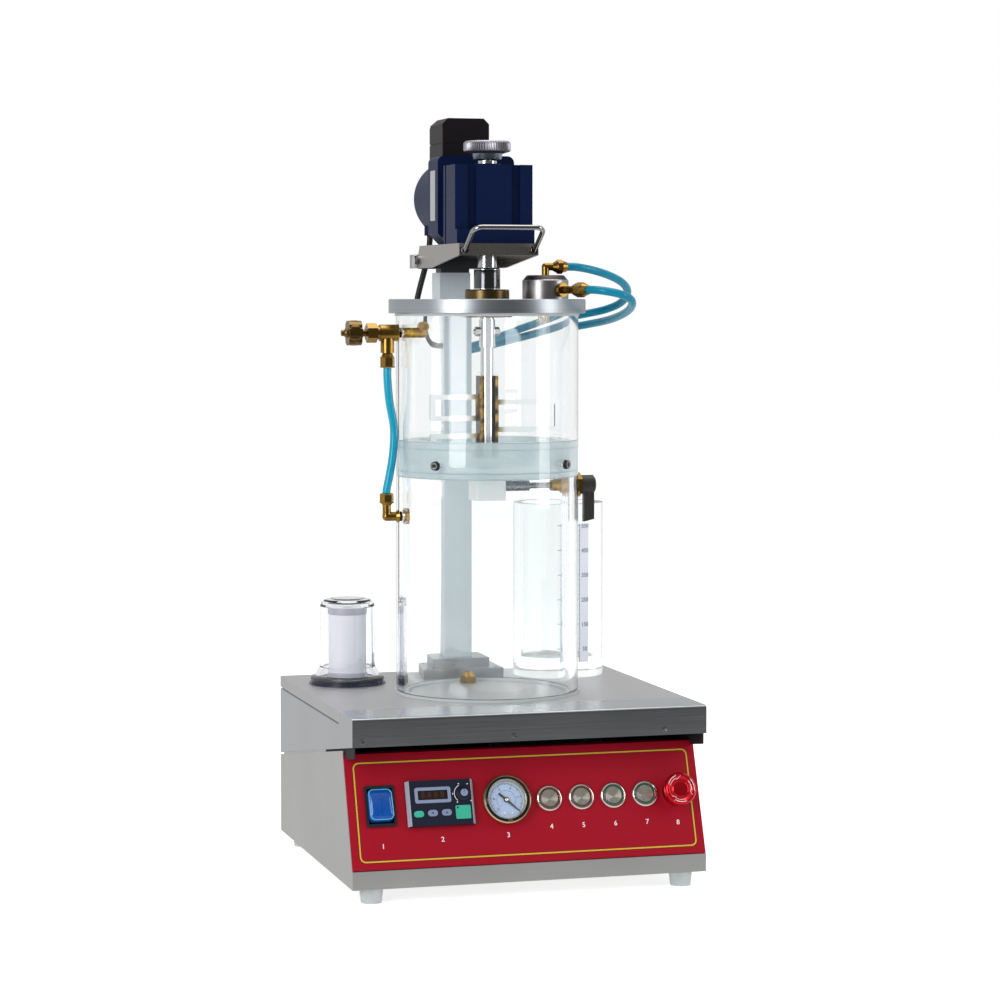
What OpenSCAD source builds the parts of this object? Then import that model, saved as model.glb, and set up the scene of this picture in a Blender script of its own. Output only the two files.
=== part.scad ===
// Vacuum investment mixer, a bench-top machine that mixes casting slurry under vacuum.
// Millimetres. X runs across, Y runs from the front panel to the back, Z is up from the bench.

/* [Cabinet] */
// Width of the cabinet and its deck
cab_w = 347; // [340:1:380]
// Depth of the deck from its front face to its back skirt
cab_d = 328; // [326:1:360]
// Height of the cabinet from its lower edge to the deck
cab_h = 160; // [150:0.5:190]
// Thickness of the folded sheet
sheet_t = 1.5; // [1:0.1:2]
// Height of a foot
foot_h = 14.5; // [10:0.5:30]
// Diameter of a foot under the cabinet
foot_top_d = 23; // [20:0.5:26]
// Diameter of a foot on the bench
foot_tip_d = 19.5; // [16:0.5:20]
// Distance of a foot's axis from the cabinet's sides
foot_in = 21; // [16:0.5:24]
// Distance of a foot's axis from the cabinet's front and back
foot_end = 14.5; // [13:0.5:20]
// Height of the front strip under the panel
strip_h = 17.2; // [14:0.1:24]
// Gap between the panel's top edge and the cover's skirt line
panel_gap = 6; // [4:0.5:8]
// How far the panel's top edge stands back
panel_set = 38.6; // [30:0.2:45]
// Height of the cover's front face
cover_h = 27; // [24:0.5:32]
// Height of the cover's skirt at the back
skirt_h = 79; // [60:1:90]
// Gap between the cover's skirt and the cabinet's wall
cover_gap = 2; // [1:0.5:3]
// Distance of the matte deck plate from the front face
deck_front = 58; // [50:1:64]
// Height of the deck plate's down-turned lip
deck_lip = 11; // [8:0.5:16]
// Width of the groove under the deck plate's lip
groove_w = 1.8; // [0.8:0.1:2]
// Bend radius of the cover's front edge
bend_r = 3; // [2:0.5:5]

/* [Panel controls] */
// Distance of the controls' centres up the slope from the panel's lower edge
ctrl_s = 60.4; // [50:0.2:64]
// Place of the rocker switch, as a share of the cabinet's width from its middle
rocker_at = -0.41; // [-0.42:0.001:-0.4]
// Width of the rocker's bezel
rocker_w = 28.6; // [27:0.2:32]
// Height of the rocker's bezel
rocker_h = 39; // [37:0.5:44]
// Width of the rocker's boot
boot_w = 23.6; // [18:0.2:24]
// Height of the rocker's boot
boot_h = 31; // [26:0.5:32]
// Tilt of the rocker to each side
rocker_tilt = 6; // [4:0.5:7]
// Place of the speed governor, as a share of the cabinet's width
gov_at = -0.244; // [-0.25:0.001:-0.235]
// Width of the governor's face
gov_w = 65.4; // [62:0.2:68]
// Height of the governor's face
gov_h = 43; // [40:0.5:48]
// How far the governor's face stands off the panel
gov_rise = 6; // [4:0.5:8]
// Diameter of the governor's knob
gov_knob_d = 7.6; // [6:0.2:9]
// Travel of the governor's keys
key_travel = 0.8; // [0.5:0.1:1]
// Place of the vacuum gauge, as a share of the cabinet's width
gauge_at = -0.059; // [-0.065:0.001:-0.055]
// Diameter of the gauge's bezel
gauge_d = 47; // [44:0.5:50]
// How far the gauge's bezel stands off the panel
gauge_rise = 8; // [6:0.5:10]
// Place of the first push button, as a share of the cabinet's width
button_at = 0.065; // [0.06:0.001:0.075]
// Spacing of the push buttons, as a share of the cabinet's width
button_step = 0.0917; // [0.086:0.0001:0.095]
// Diameter of a push button's bezel
button_d = 25.6; // [23:0.2:27]
// Diameter of a push button's cap
cap_d = 16.4; // [14:0.2:17]
// Travel of a push button
cap_travel = 2; // [1:0.5:3]
// Place of the emergency stop, as a share of the cabinet's width
estop_at = 0.429; // [0.42:0.001:0.435]
// Diameter of the emergency stop's head
estop_d = 32; // [28:0.5:36]
// How far the emergency stop stands off the panel
estop_rise = 20.5; // [18:0.5:24]
// Travel of the emergency stop
estop_travel = 4.5; // [3:0.5:5]

/* [Filter] */
// Place of the filter across the deck
filter_x = -120; // [-126:1:-118]
// Place of the filter from the front face
filter_y = 253; // [240:1:270]
// Diameter of the filter's foot
filter_foot_d = 74; // [70:1:78]
// Diameter of the filter's bowl at its top
filter_d = 55; // [50:1:58]
// Height of the filter above the deck
filter_h = 86.5; // [78:0.5:100]
// Wall of the filter's bowl
filter_wall = 3; // [2:0.5:4]
// Diameter of the filter's cartridge
cartridge_d = 38; // [28:1:40]

/* [Vessel] */
// Place of the vessel's axis from the front face
vessel_y = 158; // [157:0.5:160]
// Outer diameter of the vessel's tube
tube_d = 180; // [176:1:184]
// Wall of the vessel's tube
tube_wall = 8; // [7:0.5:10]
// Length of the vessel's tube
tube_len = 368.5; // [350:0.5:400]
// Thickness of a seal ring
gasket_t = 2.5; // [2:0.5:4]
// Height of the bowl's underside above the deck
bowl_z = 213.5; // [205:0.5:225]
// Height of the bowl
bowl_h = 36; // [32:0.5:40]
// Wall of the bowl
bowl_wall = 14; // [11:0.5:15]
// Thickness of the bowl's floor
bowl_floor_t = 12; // [9:0.5:14]
// Clearance of the bowl in the tube
bowl_fit = 0.15; // [0.1:0.05:0.3]
// Diameter of the drain through the bowl and the pour valve
drain_d = 14; // [12:0.5:15]

/* [Pour valve] */
// Distance of the valve's stem under the bowl
valve_drop = 10.5; // [10.2:0.1:13]
// Width of the white valve block
block_w = 31; // [30:0.5:34]
// Height of the valve block
block_h = 24; // [22:0.5:26]
// Diameter of the valve's ball
ball_d = 19; // [18:0.5:20]
// Diameter of the valve's stem
stem_d = 6; // [5:0.5:7]
// Diameter of the stem's coupling
coupling_d = 10.4; // [9:0.2:12]
// Diameter of the lever's hub
hub_d = 19; // [16:0.5:20]
// Reach of the lever from the stem's axis
lever_reach = 37; // [30:1:42]
// Width of the lever
lever_w = 10.6; // [9:0.2:14]

/* [Needle valve and hoses] */
// Distance of the needle valve's axis under the tube's upper edge
needle_drop = 16.5; // [14:0.5:20]
// Height of the lower elbow's port above the deck
elbow_z = 175; // [170:0.5:185]
// Diameter of the handwheel
wheel_d = 24.5; // [22:0.5:28]
// Number of flutes round the handwheel
wheel_flutes = 6; // [4:1:8]
// Diameter of the air and water hoses
hose_d = 8; // [7.6:0.1:8]
// Diameter of the motor's cable
cable_d = 6; // [5.6:0.1:6]

/* [Lid] */
// How far the lid stands out past the tube
lid_over = 7; // [5:0.5:10]
// Thickness of the lid
lid_t = 14; // [12:0.5:16]
// Diameter of the brass seal housing on the lid
seal_d = 44; // [42:0.5:46]
// Height of the brass seal housing
seal_h = 9.5; // [9:0.5:12]
// Diameter of the brass flange under the lid
seal_flange_d = 50; // [46:1:54]
// Place of the manifold across the lid
manifold_x = 60; // [58:1:62]
// Diameter of the manifold
manifold_d = 45.7; // [44:0.5:47]
// Height of the manifold
manifold_h = 23.5; // [22:0.5:27]

/* [Paddle] */
// Diameter of the polished collar that takes the drive
collar_d = 26; // [24:0.5:30]
// Height of the collar
collar_h = 20.5; // [16:0.5:24]
// Diameter of the shaft in the lid's seal
seal_shaft_d = 14; // [13:0.5:15]
// Diameter of the mixing shaft
shaft_d = 13; // [12:0.5:14]
// Reach of the left frames, as a share of the tube's inner radius
reach_left = 0.701; // [0.6:0.001:0.76]
// Reach of the right frame, as a share of the tube's inner radius
reach_right = 0.927; // [0.75:0.001:0.94]
// Length of the plates beside the shaft
frame_len = 81.5; // [70:0.5:90]
// Width of the frames' flat bar
bar_w = 5; // [4:0.5:6]
// Thickness of the frames' flat bar
bar_t = 3; // [2:0.5:4]

/* [Column] */
// Width and depth of the square column
col_w = 32; // [30:1:32]
// Wall of the column
col_wall = 4; // [3:0.5:5]
// Place of the column's axis from the front face
col_y = 295; // [293:1:297]
// Width of the column's lower plate
plate_w = 95; // [80:1:100]
// Depth of the column's lower plate
plate_d = 64; // [60:1:66]
// Thickness of the column's lower plate
plate_t = 10; // [8:0.5:12]
// Width of the column's upper block
socket_w = 66; // [56:1:70]
// Depth of the column's upper block
socket_d = 50; // [46:1:54]
// Height of the column's upper block
socket_h = 10; // [8:0.5:18]

/* [Motor head] */
// Height of the tray's top above the lid
tray_rise = 54; // [50:0.5:60]
// Width of the tray
tray_w = 80; // [80:1:84]
// Distance of the tray's front from the front face
tray_y = 115; // [110:1:120]
// Thickness of the tray's sheet
tray_t = 2; // [1.5:0.5:2.5]
// Place of the hinge bolt from the front face
pivot_y = 281.5; // [280:0.5:283]
// Depth of the hinge bolt under the tray's top
pivot_drop = 15.7; // [15:0.1:17]
// Diameter of the hinge bolt
pivot_d = 8; // [6:0.5:9]
// Diameter of the handle's wire
handle_wire = 5; // [4:0.5:6]
// Half the distance between the handle's legs
handle_half = 35; // [33:0.5:35]
// Length of the handle's legs
handle_reach = 40; // [34:1:46]
// Width of the gear case
case_w = 78.5; // [74:0.5:80]
// Depth of the gear case
case_d = 44; // [40:0.5:46]
// Distance of the gear case's front from the drive's axis
case_front = 25; // [22:0.5:28]
// How far the gear case's foot stands out in front
case_foot = 7; // [4:0.5:9]
// Height of the gear case
case_h = 77; // [70:0.5:80]
// Height of the gear case's foot
case_foot_h = 14; // [10:0.5:18]
// Height of the motor's axis above the tray
motor_z = 48; // [46:0.5:50]
// Diameter of the motor
motor_d = 79; // [74:0.5:80]
// Length of the round motor behind its flange
motor_len = 63; // [56:1:64]
// Diameter of the output sleeve
sleeve_d = 19.3; // [18:0.1:21]
// Diameter of the drive rod
rod_d = 10; // [9:0.5:11]
// Diameter of the lifting knob
knob_d = 46; // [42:0.5:50]
// How deep the drive's hexagon stands in the collar
hex_depth = 8; // [6:0.5:9]
// Travel of the lifting knob
lift_travel = 10; // [9:0.5:11]

/* [Measuring cylinder] */
// Place of the cylinder across the deck
cyl_x = 110; // [108:1:114]
// Place of the cylinder from the front face
cyl_y = 273; // [268:1:276]
// Outer diameter of the cylinder
cyl_d = 90; // [86:1:92]
// Inner diameter of the cylinder
cyl_bore = 70; // [66:1:74]
// Height of the cylinder
cyl_h = 178; // [165:1:190]
// Thickness of the cylinder's bottom
cyl_floor = 20; // [14:1:24]

/* [Hidden] */
$fn = 64;

// Clearances: a running fit on the radius, and the gap between parts that move past each other
run_fit = 0.05;
move_gap = 0.3;
// A cut runs this far past the face it opens
cut = 1;

// Reach of the hose barbs behind the cabinet
barb_reach = 22;

// Heights of the cabinet
deck_z = foot_h + cab_h;
cover_z = deck_z - cover_h;
strip_z = foot_h + strip_h;
function skirt_z(y) = cover_z - (skirt_h - cover_h) * y / cab_d;
function wall_z(y) = skirt_z(y) - cover_gap;

// The sloped panel
panel_z = skirt_z(panel_set) - panel_gap;
panel_tilt = atan2(panel_set, panel_z - strip_z);
panel_len = norm([panel_set, panel_z - strip_z]);
panel_w = cab_w - 2 * move_gap;
rocker_x = rocker_at * cab_w;
gov_x = gov_at * cab_w;
gauge_x = gauge_at * cab_w;
button_xs = [for (i = [0:3]) (button_at + i * button_step) * cab_w];
estop_x = estop_at * cab_w;

// The emergency stop reaches in front of the cover; the shift centres the whole footprint
estop_bevel = 3;
front_y = min(0, (ctrl_s - estop_d / 2 + estop_bevel) * sin(panel_tilt) - estop_rise * cos(panel_tilt));
mid_y = (front_y + cab_d + barb_reach) / 2;

// The vessel and the lid
tube_r = tube_d / 2;
bore_r = tube_r - tube_wall;
tube_z = deck_z + gasket_t;
needle_z = gasket_t + tube_len - needle_drop;
lid_z = tube_z + tube_len + gasket_t;
lid_d = tube_d + 2 * lid_over;
lid_top = lid_z + lid_t;
bowl_r = bore_r - bowl_fit;
bowl_base = deck_z + bowl_z;
valve_z = bowl_base - valve_drop;
collar_z = lid_top + seal_h + move_gap;
collar_top = collar_z + collar_h;

// The head
tray_top = lid_top + tray_rise;
pivot_z = tray_top - pivot_drop;
col_top = pivot_z - 11.3;
sleeve_low = collar_top + 0.8;
case_y = vessel_y - case_front;
flange_y = vessel_y + 40.5;
flange_t = 37.5;
flange_h = 88.5;
motor_back = flange_y + flange_t + motor_len;
motor_axis = tray_top + motor_z;

module place() translate([0, -mid_y, 0]) children();

// A point of the panel: across it, up its slope, and off its face along local Z
module on_panel(x, s) {
    translate([x, s * sin(panel_tilt), strip_z + s * cos(panel_tilt)])
        rotate([90 - panel_tilt, 0, 0]) children();
}

module rounded(w, h, r) {
    square([w - 2 * r, h], center = true);
    square([w, h - 2 * r], center = true);
    for (x = [-1, 1], y = [-1, 1])
        translate([x * (w / 2 - r), y * (h / 2 - r)]) circle(r);
}

module slab(w, h, t, r) linear_extrude(t) rounded(w, h, r);

module oval(w, h) {
    square([w - h, h], center = true);
    for (x = [-1, 1]) translate([x * (w - h) / 2, 0]) circle(d = h);
}

// A round bar along X from x0 to x1
module bar_x(x0, x1, d) translate([x0, 0, 0]) rotate([0, 90, 0]) cylinder(d = d, h = x1 - x0);

// A hexagon nut along X
module hex_x(x0, x1, af) {
    translate([x0, 0, 0]) rotate([0, 90, 0]) cylinder(d = af / cos(30), h = x1 - x0, $fn = 6);
}

// A side profile drawn as depth and height, made solid from x0 over a thickness
module side_sheet(x0, t, points) {
    translate([x0, 0, 0]) rotate([90, 0, 90]) linear_extrude(t) polygon(points);
}

// A socket-head screw with its head up at z = 0 and its shank down
module cap_screw(d, len) {
    difference() {
        cylinder(d = 1.6 * d, h = 0.8 * d);
        translate([0, 0, 0.4 * d]) cylinder(d = d, h = d, $fn = 6);
    }
    translate([0, 0, -len]) cylinder(d = d, h = len);
}

// Hand-chosen routes of the hoses and the cable, in the machine's own frame. The left hose's
// points are distances outside the tube and heights between its two nuts; the others' heights
// are counted from the manifold's two unions and from the motor's cable gland
hose_z = lid_top + manifold_h + 8.5;
union_z = lid_top + 9;
hose_low = deck_z + elbow_z + 21.5;
hose_high = deck_z + needle_z - 33;
left_route = [for (p = [[11, 125], [11, 113], [9, 91], [5, 69], [4.5, 53], [6, 37], [9, 19],
    [12, 5], [12, 0]]) [-tube_r - p[0], vessel_y, hose_low + p[1] * (hose_high - hose_low) / 125]];
upper_route = [for (p = [
    [82.2, 158, 0], [90, 158, -0.1], [98.6, 159.7, -1.1], [108, 163.1, -2.6], [118, 167.7, -4.7],
    [128.4, 173.5, -7.3], [138.5, 180.3, -10.4], [147.9, 188.1, -14], [155.7, 196.8, -18.2],
    [161.3, 206.2, -22.8], [164.3, 216.1, -27.6], [164.7, 226.2, -32.4], [162.3, 236, -36.8],
    [157, 245.3, -40.6], [148.6, 253.9, -43.9], [137, 261.7, -46.7], [122.7, 268.7, -49.7],
    [106.3, 274.9, -53.5], [88.9, 280.2, -58.3], [71.4, 284.4, -63.7], [54.9, 287.4, -69.3],
    [40.3, 289.3, -74.4], [28, 290, -78.2], [18, 290, -80.3], [9, 290, -80.5]])
    [p[0], p[1], hose_z + p[2]]];
lower_route = [for (p = [
    [86.65, 100.9, 0], [88.55, 96.8, 0], [91.3, 91.2, -0.2], [96.6, 85.2, -1], [103.9, 81.6, -2.3],
    [112.2, 81.2, -4.1], [120, 84.2, -6.5], [126.4, 90.2, -9.4], [130.8, 98.8, -12.8],
    [133.9, 110.5, -16.2], [136.2, 125, -19.6], [137.6, 142, -22.7], [138, 160, -25.6],
    [137, 182, -28.8], [133.6, 205, -31.7], [127, 227, -34.4], [116.4, 248.5, -37.6],
    [102.4, 267.5, -41.6], [85, 283, -46.4], [65, 294, -51.4], [45, 300.3, -56.1],
    [28, 302, -59.8], [18, 302, -61.4], [9, 302, -61.5]])
    [p[0], p[1], union_z + p[2]]];
cable_route = [for (p = [[-24, 290, 0], [-24, 290, 6], [-25, 293.5, 21], [-28, 298, 37],
    [-32, 300.5, 54], [-36, 300, 71], [-38.5, 298, 86], [-37.5, 296, 99], [-33, 295, 107.5],
    [-25, 295, 112.2], [-16, 295, 113], [-9, 295, 113]]) [p[0], p[1], motor_axis - 37 - p[2]]];

function unit(v) = v / norm(v);
function spline_at(p, i, t) =
    let (a = p[max(i - 1, 0)], b = p[i], c = p[i + 1], d = p[min(i + 2, len(p) - 1)])
    0.5 * (2 * b + (c - a) * t + (2 * a - 5 * b + 4 * c - d) * t * t
        + (3 * b - a - 3 * c + d) * t * t * t);
function smooth(p, k) = concat(
    [for (i = [0:len(p) - 2]) for (j = [0:k - 1]) spline_at(p, i, j / k)],
    [p[len(p) - 1]]);

// A tube of n sides swept along a smoothed route, its rings turned to a fixed reference
module swept(route, d, k, ref, n = 8) {
    q = smooth(route, k);
    m = len(q);
    dirs = [for (i = [0:m - 1]) unit(q[min(i + 1, m - 1)] - q[max(i - 1, 0)])];
    rings = [for (i = [0:m - 1])
        let (side = unit(cross(dirs[i], ref)), up = cross(side, dirs[i]))
        for (a = [0:n - 1]) q[i] + d / 2 * (cos(360 * a / n) * side + sin(360 * a / n) * up)];
    walls = [for (i = [0:m - 2]) for (a = [0:n - 1])
        let (b = (a + 1) % n, low = i * n, high = (i + 1) * n)
        each [[low + a, low + b, high + a], [low + b, high + b, high + a]]];
    ends = [[for (a = [n - 1:-1:0]) a], [for (a = [0:n - 1]) (m - 1) * n + a]];
    polyhedron(rings, concat(walls, ends));
}

// Side wall; its sloped edge stands back by the panel that lies on it
module base_side(x0) {
    seat = (sheet_t + 0.05) / cos(panel_tilt);
    side_sheet(x0, sheet_t, [[0, foot_h], [cab_d, foot_h], [cab_d, wall_z(cab_d)],
        [panel_set + seat, wall_z(panel_set + seat)], [panel_set + seat, panel_z],
        [seat, strip_z], [0, strip_z]]);
}

// Folded tray of the cabinet: floor, sloped sides, back wall, front strip and side tongues
module cabinet_base() color("silver") place() {
    tongue_y = [120, cab_d - 10];
    difference() {
        union() {
            translate([-cab_w / 2, 0, foot_h]) cube([cab_w, cab_d, sheet_t]);
            translate([-cab_w / 2, 0, foot_h]) cube([cab_w, sheet_t, strip_h]);
            translate([-cab_w / 2, cab_d - sheet_t, foot_h])
                cube([cab_w, sheet_t, wall_z(cab_d) - foot_h]);
            base_side(-cab_w / 2);
            base_side(cab_w / 2 - sheet_t);
            for (s = [-1, 1]) side_sheet(s * (cab_w / 2 - 1.5 * sheet_t) - sheet_t / 2, sheet_t,
                [[tongue_y[0], wall_z(tongue_y[0]) - 14], [tongue_y[1], wall_z(tongue_y[1]) - 14],
                [tongue_y[1], wall_z(tongue_y[1]) + 12], [tongue_y[0], wall_z(tongue_y[0]) + 12]]);
        }
        for (x = [-1, 1], y = [foot_end, cab_d - foot_end])
            translate([x * (cab_w / 2 - foot_in), y, foot_h - cut]) cylinder(d = 5.2, h = 4);
        translate([inlet_x, cab_d, inlet_z]) rotate([90, 0, 0])
            translate([0, 0, -cut]) slab(inlet_w + 0.4, inlet_h + 0.4, 4, 2);
        for (x = barb_xs) translate([x, cab_d + cut, barb_z]) rotate([90, 0, 0])
            cylinder(d = barb_d + 0.4, h = 4);
        for (i = [0:7]) translate([40 + 9 * i, cab_d + cut, 56]) rotate([90, 0, 0])
            linear_extrude(4) rotate(90) oval(30, 3);
        for (i = [0:7]) translate([-20 + 12 * i, 200, foot_h - cut])
            linear_extrude(4) rotate(90) oval(50, 3);
    }
}

// Red control panel with the holes of its controls and a flange folded back along its top
module front_panel() color("#a80a24") place() {
    panel_low = sheet_t * tan(panel_tilt) + move_gap;
    flange_w = cab_w - 2 * sheet_t - 2 * move_gap;
    difference() {
        union() {
            on_panel(0, 0) translate([-panel_w / 2, panel_low, -sheet_t])
                cube([panel_w, panel_len - panel_low, sheet_t]);
            translate([-flange_w / 2, panel_set, panel_z - sheet_t])
                cube([flange_w, 12, sheet_t]);
        }
        on_panel(rocker_x, ctrl_s) translate([0, 0, -5]) slab(rocker_w - 3.6, rocker_h - 4, 9, 1);
        on_panel(gov_x, ctrl_s) translate([0, 0, -5]) slab(gov_w - 5.4, gov_h - 5, 9, 2);
        on_panel(gauge_x, ctrl_s) translate([0, 0, -5]) cylinder(d = gauge_d - 4, h = 9);
        for (x = button_xs) on_panel(x, ctrl_s) translate([0, 0, -5])
            cylinder(d = button_d - 5.6, h = 9);
        on_panel(estop_x, ctrl_s) translate([0, 0, -5]) cylinder(d = 22.4, h = 9);
    }
}

// Holes that the vessel's port, the filter and the column's bolts need in the deck
module deck_holes() {
    translate([port_x, port_y, deck_z - 5]) cylinder(d = port_d + 0.4, h = 9);
    translate([filter_x, filter_y, deck_z - 5]) cylinder(d = 12.4, h = 9);
    for (x = [-1, 1], y = [-1, 1])
        translate([x * (plate_w / 2 - 7), plate_y + y * (plate_d / 2 - 8), deck_z - 5])
            cylinder(d = 5.4, h = 9);
}

// Polished cover: front face, top sheet, skirts that deepen to the back, and a folded lip
module top_cover() color("#8d8f92") place() {
    inner = cab_w / 2 - sheet_t;
    groove_z = deck_z - deck_lip - groove_w;
    difference() {
        union() {
            translate([-cab_w / 2, 0, 0]) rotate([90, 0, 90]) linear_extrude(cab_w) difference() {
                union() {
                    translate([0, cover_z]) square([bend_r, cover_h - bend_r]);
                    translate([bend_r, deck_z - bend_r]) square([deck_front - bend_r, bend_r]);
                    translate([bend_r, deck_z - bend_r]) circle(bend_r);
                }
                translate([bend_r, deck_z - bend_r]) circle(bend_r - sheet_t);
                translate([sheet_t, cover_z - cut]) square([bend_r, cover_h - bend_r + cut]);
                translate([bend_r, deck_z - bend_r - cut])
                    square([deck_front, bend_r - sheet_t + cut]);
            }
            translate([-inner, deck_front - 8, deck_z - 2 * sheet_t])
                cube([2 * inner, cab_d - deck_front + 8 - sheet_t, sheet_t]);
            translate([-inner, sheet_t, cover_z]) cube([2 * inner, 12, sheet_t]);
            for (s = [-1, 1]) {
                side_sheet(s * (cab_w / 2 - sheet_t / 2) - sheet_t / 2, sheet_t,
                    [[sheet_t, cover_z], [cab_d, skirt_z(cab_d)], [cab_d, groove_z],
                    [deck_front, groove_z], [deck_front, deck_z - sheet_t / 2],
                    [sheet_t, deck_z - sheet_t]]);
                side_sheet(s * (inner - sheet_t / 2) - sheet_t / 2, sheet_t,
                    [[deck_front - 8, groove_z - 10], [cab_d - sheet_t, groove_z - 10],
                    [cab_d - sheet_t, deck_z - sheet_t], [deck_front - 8, deck_z - sheet_t]]);
            }
            translate([-cab_w / 2, cab_d - sheet_t, skirt_z(cab_d)])
                cube([cab_w, sheet_t, groove_z - skirt_z(cab_d)]);
            translate([-inner, cab_d - 2 * sheet_t, groove_z - 10])
                cube([2 * inner, sheet_t, deck_z - sheet_t - groove_z + 10]);
        }
        deck_holes();
        for (x = cover_screw_xs) translate([x, -cut, cover_z + 5]) rotate([-90, 0, 0])
            cylinder(d = 3.2, h = 5);
    }
}

// Matte deck plate: a sheet on the cover with a lip turned down at both sides and the back
module deck_plate() color("#9c9c9e") place() {
    lip_z = deck_z - deck_lip;
    difference() {
        union() {
            translate([-cab_w / 2, deck_front, deck_z - sheet_t])
                cube([cab_w, cab_d - deck_front, sheet_t]);
            for (x = [-cab_w / 2, cab_w / 2 - sheet_t])
                translate([x, deck_front, lip_z]) cube([sheet_t, cab_d - deck_front, deck_lip]);
            translate([-cab_w / 2, cab_d - sheet_t, lip_z]) cube([cab_w, sheet_t, deck_lip]);
        }
        deck_holes();
    }
}

// Four tapered feet, each with a sunk hole for its screw
module feet() color("#e8ecec") place() {
    for (x = [-1, 1], y = [foot_end, cab_d - foot_end])
        translate([x * (cab_w / 2 - foot_in), y, 0]) difference() {
            cylinder(d1 = foot_tip_d, d2 = foot_top_d, h = foot_h);
            translate([0, 0, -cut]) cylinder(d = 10, h = foot_h / 2 + cut);
            translate([0, 0, -cut]) cylinder(d = 5.2, h = foot_h + 2 * cut);
        }
}

cover_screw_xs = [for (k = [-0.472, -0.049, 0.38]) k * cab_w];
plate_y = col_y - 3;
bowl_screw_as = [for (k = [0:3]) 41.5 + 90 * k];
bowl_screw_z = bowl_floor_t + 1.6;

// Screws of the feet, the cover, the bowl, the column's foot and the hinge bracket
module screws() color("#b9bcc0") place() {
    for (x = [-1, 1], y = [foot_end, cab_d - foot_end])
        translate([x * (cab_w / 2 - foot_in), y, foot_h / 2]) rotate([180, 0, 0])
            cap_screw(5, foot_h / 2 + 6);
    for (x = cover_screw_xs) translate([x, 0, cover_z + 5]) rotate([90, 0, 0]) cap_screw(3, 6);
    for (a = bowl_screw_as) translate([0, vessel_y, bowl_base + bowl_screw_z]) rotate([0, 0, a])
        translate([tube_r, 0, 0]) rotate([0, 90, 0]) cap_screw(5, tube_wall + 9);
    for (x = [-1, 1], y = [-1, 1])
        translate([x * (plate_w / 2 - 7), plate_y + y * (plate_d / 2 - 8), deck_z + plate_t - 4])
            cap_screw(5, plate_t + 4);
}

inlet_x = -0.317 * cab_w;
inlet_z = 58;
inlet_w = 27;
inlet_h = 20;

// Mains inlet: flange, body and a socket with three blades
module power_inlet() color("#202022") place() {
    translate([inlet_x, cab_d, inlet_z]) rotate([-90, 0, 0]) {
        difference() {
            union() {
                slab(inlet_w + 21, inlet_h + 6, 2.5, 3);
                translate([0, 0, -22]) slab(inlet_w, inlet_h, 23, 2);
            }
            translate([0, 0, -14]) slab(inlet_w - 3, inlet_h - 4, 20, 2);
            for (s = [-1, 1]) translate([s * (inlet_w / 2 + 6.5), 0, -cut]) cylinder(d = 3.4, h = 6);
        }
        for (p = [[-7, -2], [0, 3], [7, -2]]) translate([p[0] - 1, p[1] - 2, -15])
            cube([2, 4, 13]);
    }
}

pump_x = 0.18 * cab_w;
pump_y = 0.625 * cab_d;
pump_d = 84;
pump_feet_h = 14;

// Vacuum pump: motor barrel, cylinder head with ribs, base rails and four rubber mounts
module vacuum_pump() color("#5a6068") place() {
    axis_z = foot_h + sheet_t + pump_feet_h + 4 + pump_d / 2;
    translate([pump_x, pump_y, axis_z]) {
        bar_x(-52, 42, pump_d);
        for (i = [0:5]) bar_x(-48 + 14 * i, -43 + 14 * i, pump_d + 3);
        bar_x(42, 72, pump_d - 24);
        translate([57, 0, 0]) cylinder(d = 40, h = 60 - 4);
        for (s = [-1, 1]) translate([-60, s * 26 - 7, -pump_d / 2 - 4]) cube([120, 14, 22]);
    }
    for (x = [-50, 50], y = [-26, 26])
        translate([pump_x + x, pump_y + y, foot_h + sheet_t]) cylinder(d1 = 20, d2 = 14, h = pump_feet_h);
}

// Bank of four solenoid valves on one manifold bar
module valve_bank() color("#3d4148") place() {
    translate([-0.435 * cab_w, 0.366 * cab_d, foot_h + sheet_t]) {
        cube([110, 26, 20]);
        for (i = [0:3]) translate([13 + 28 * i, 13, 20]) {
            cylinder(d = 12, h = 10);
            translate([-10, -11, 8]) cube([20, 22, 30]);
            cylinder(d = 9, h = 44);
        }
    }
}

// Control box with its folded lid
module control_box() color("#c9ccd0") place() {
    translate([-0.435 * cab_w, 0.549 * cab_d, foot_h + sheet_t]) {
        cube([100, 110, 40]);
        translate([-1, -1, 34]) cube([102, 112, 8]);
    }
}

// Bezel and body of the rocker switch, with a well for the rocker and its pin
module rocker_bezel() color("#1b1b20") place() on_panel(rocker_x, ctrl_s) difference() {
    union() {
        slab(rocker_w, rocker_h, 2.2, 2);
        translate([0, 0, -26]) slab(rocker_w - 4, rocker_h - 4.4, 27, 1);
    }
    translate([-boot_w / 2 - move_gap, -boot_h / 2 - 1.15, -12])
        cube([boot_w + 2 * move_gap, boot_h + 2.3, 20]);
    translate([0, 0, rocker_axis]) bar_x(-rocker_pin / 2 - 0.2, rocker_pin / 2 + 0.2, 3 + 2 * run_fit);
}

rocker_axis = -6;
rocker_pin = 24.5;

// Rocker under its crowned blue boot, tilted to its off side, on a cross pin
module rocker_boot() color("#1b62b8") place() on_panel(rocker_x, ctrl_s)
    translate([0, 0, rocker_axis]) rotate([-rocker_tilt, 0, 0]) {
        intersection() {
            translate([0, 0, 1]) slab(boot_w, boot_h, 16, 5);
            translate([0, 0, -44]) bar_x(-20, 20, 116);
        }
        bar_x(-rocker_pin / 2, rocker_pin / 2, 3);
    }

gov_keys = [[-22.4, -10.2, 9.6, 6], [-9, -9.8, 9.6, 6], [4.5, -9.7, 9.6, 6], [20.5, -10, 14.5, 12.8]];
gov_knob_at = [22, 7.6];
gov_window_at = [-7.5, 7.4];
key_depth = 3;
key_rise = 0.8;

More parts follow.
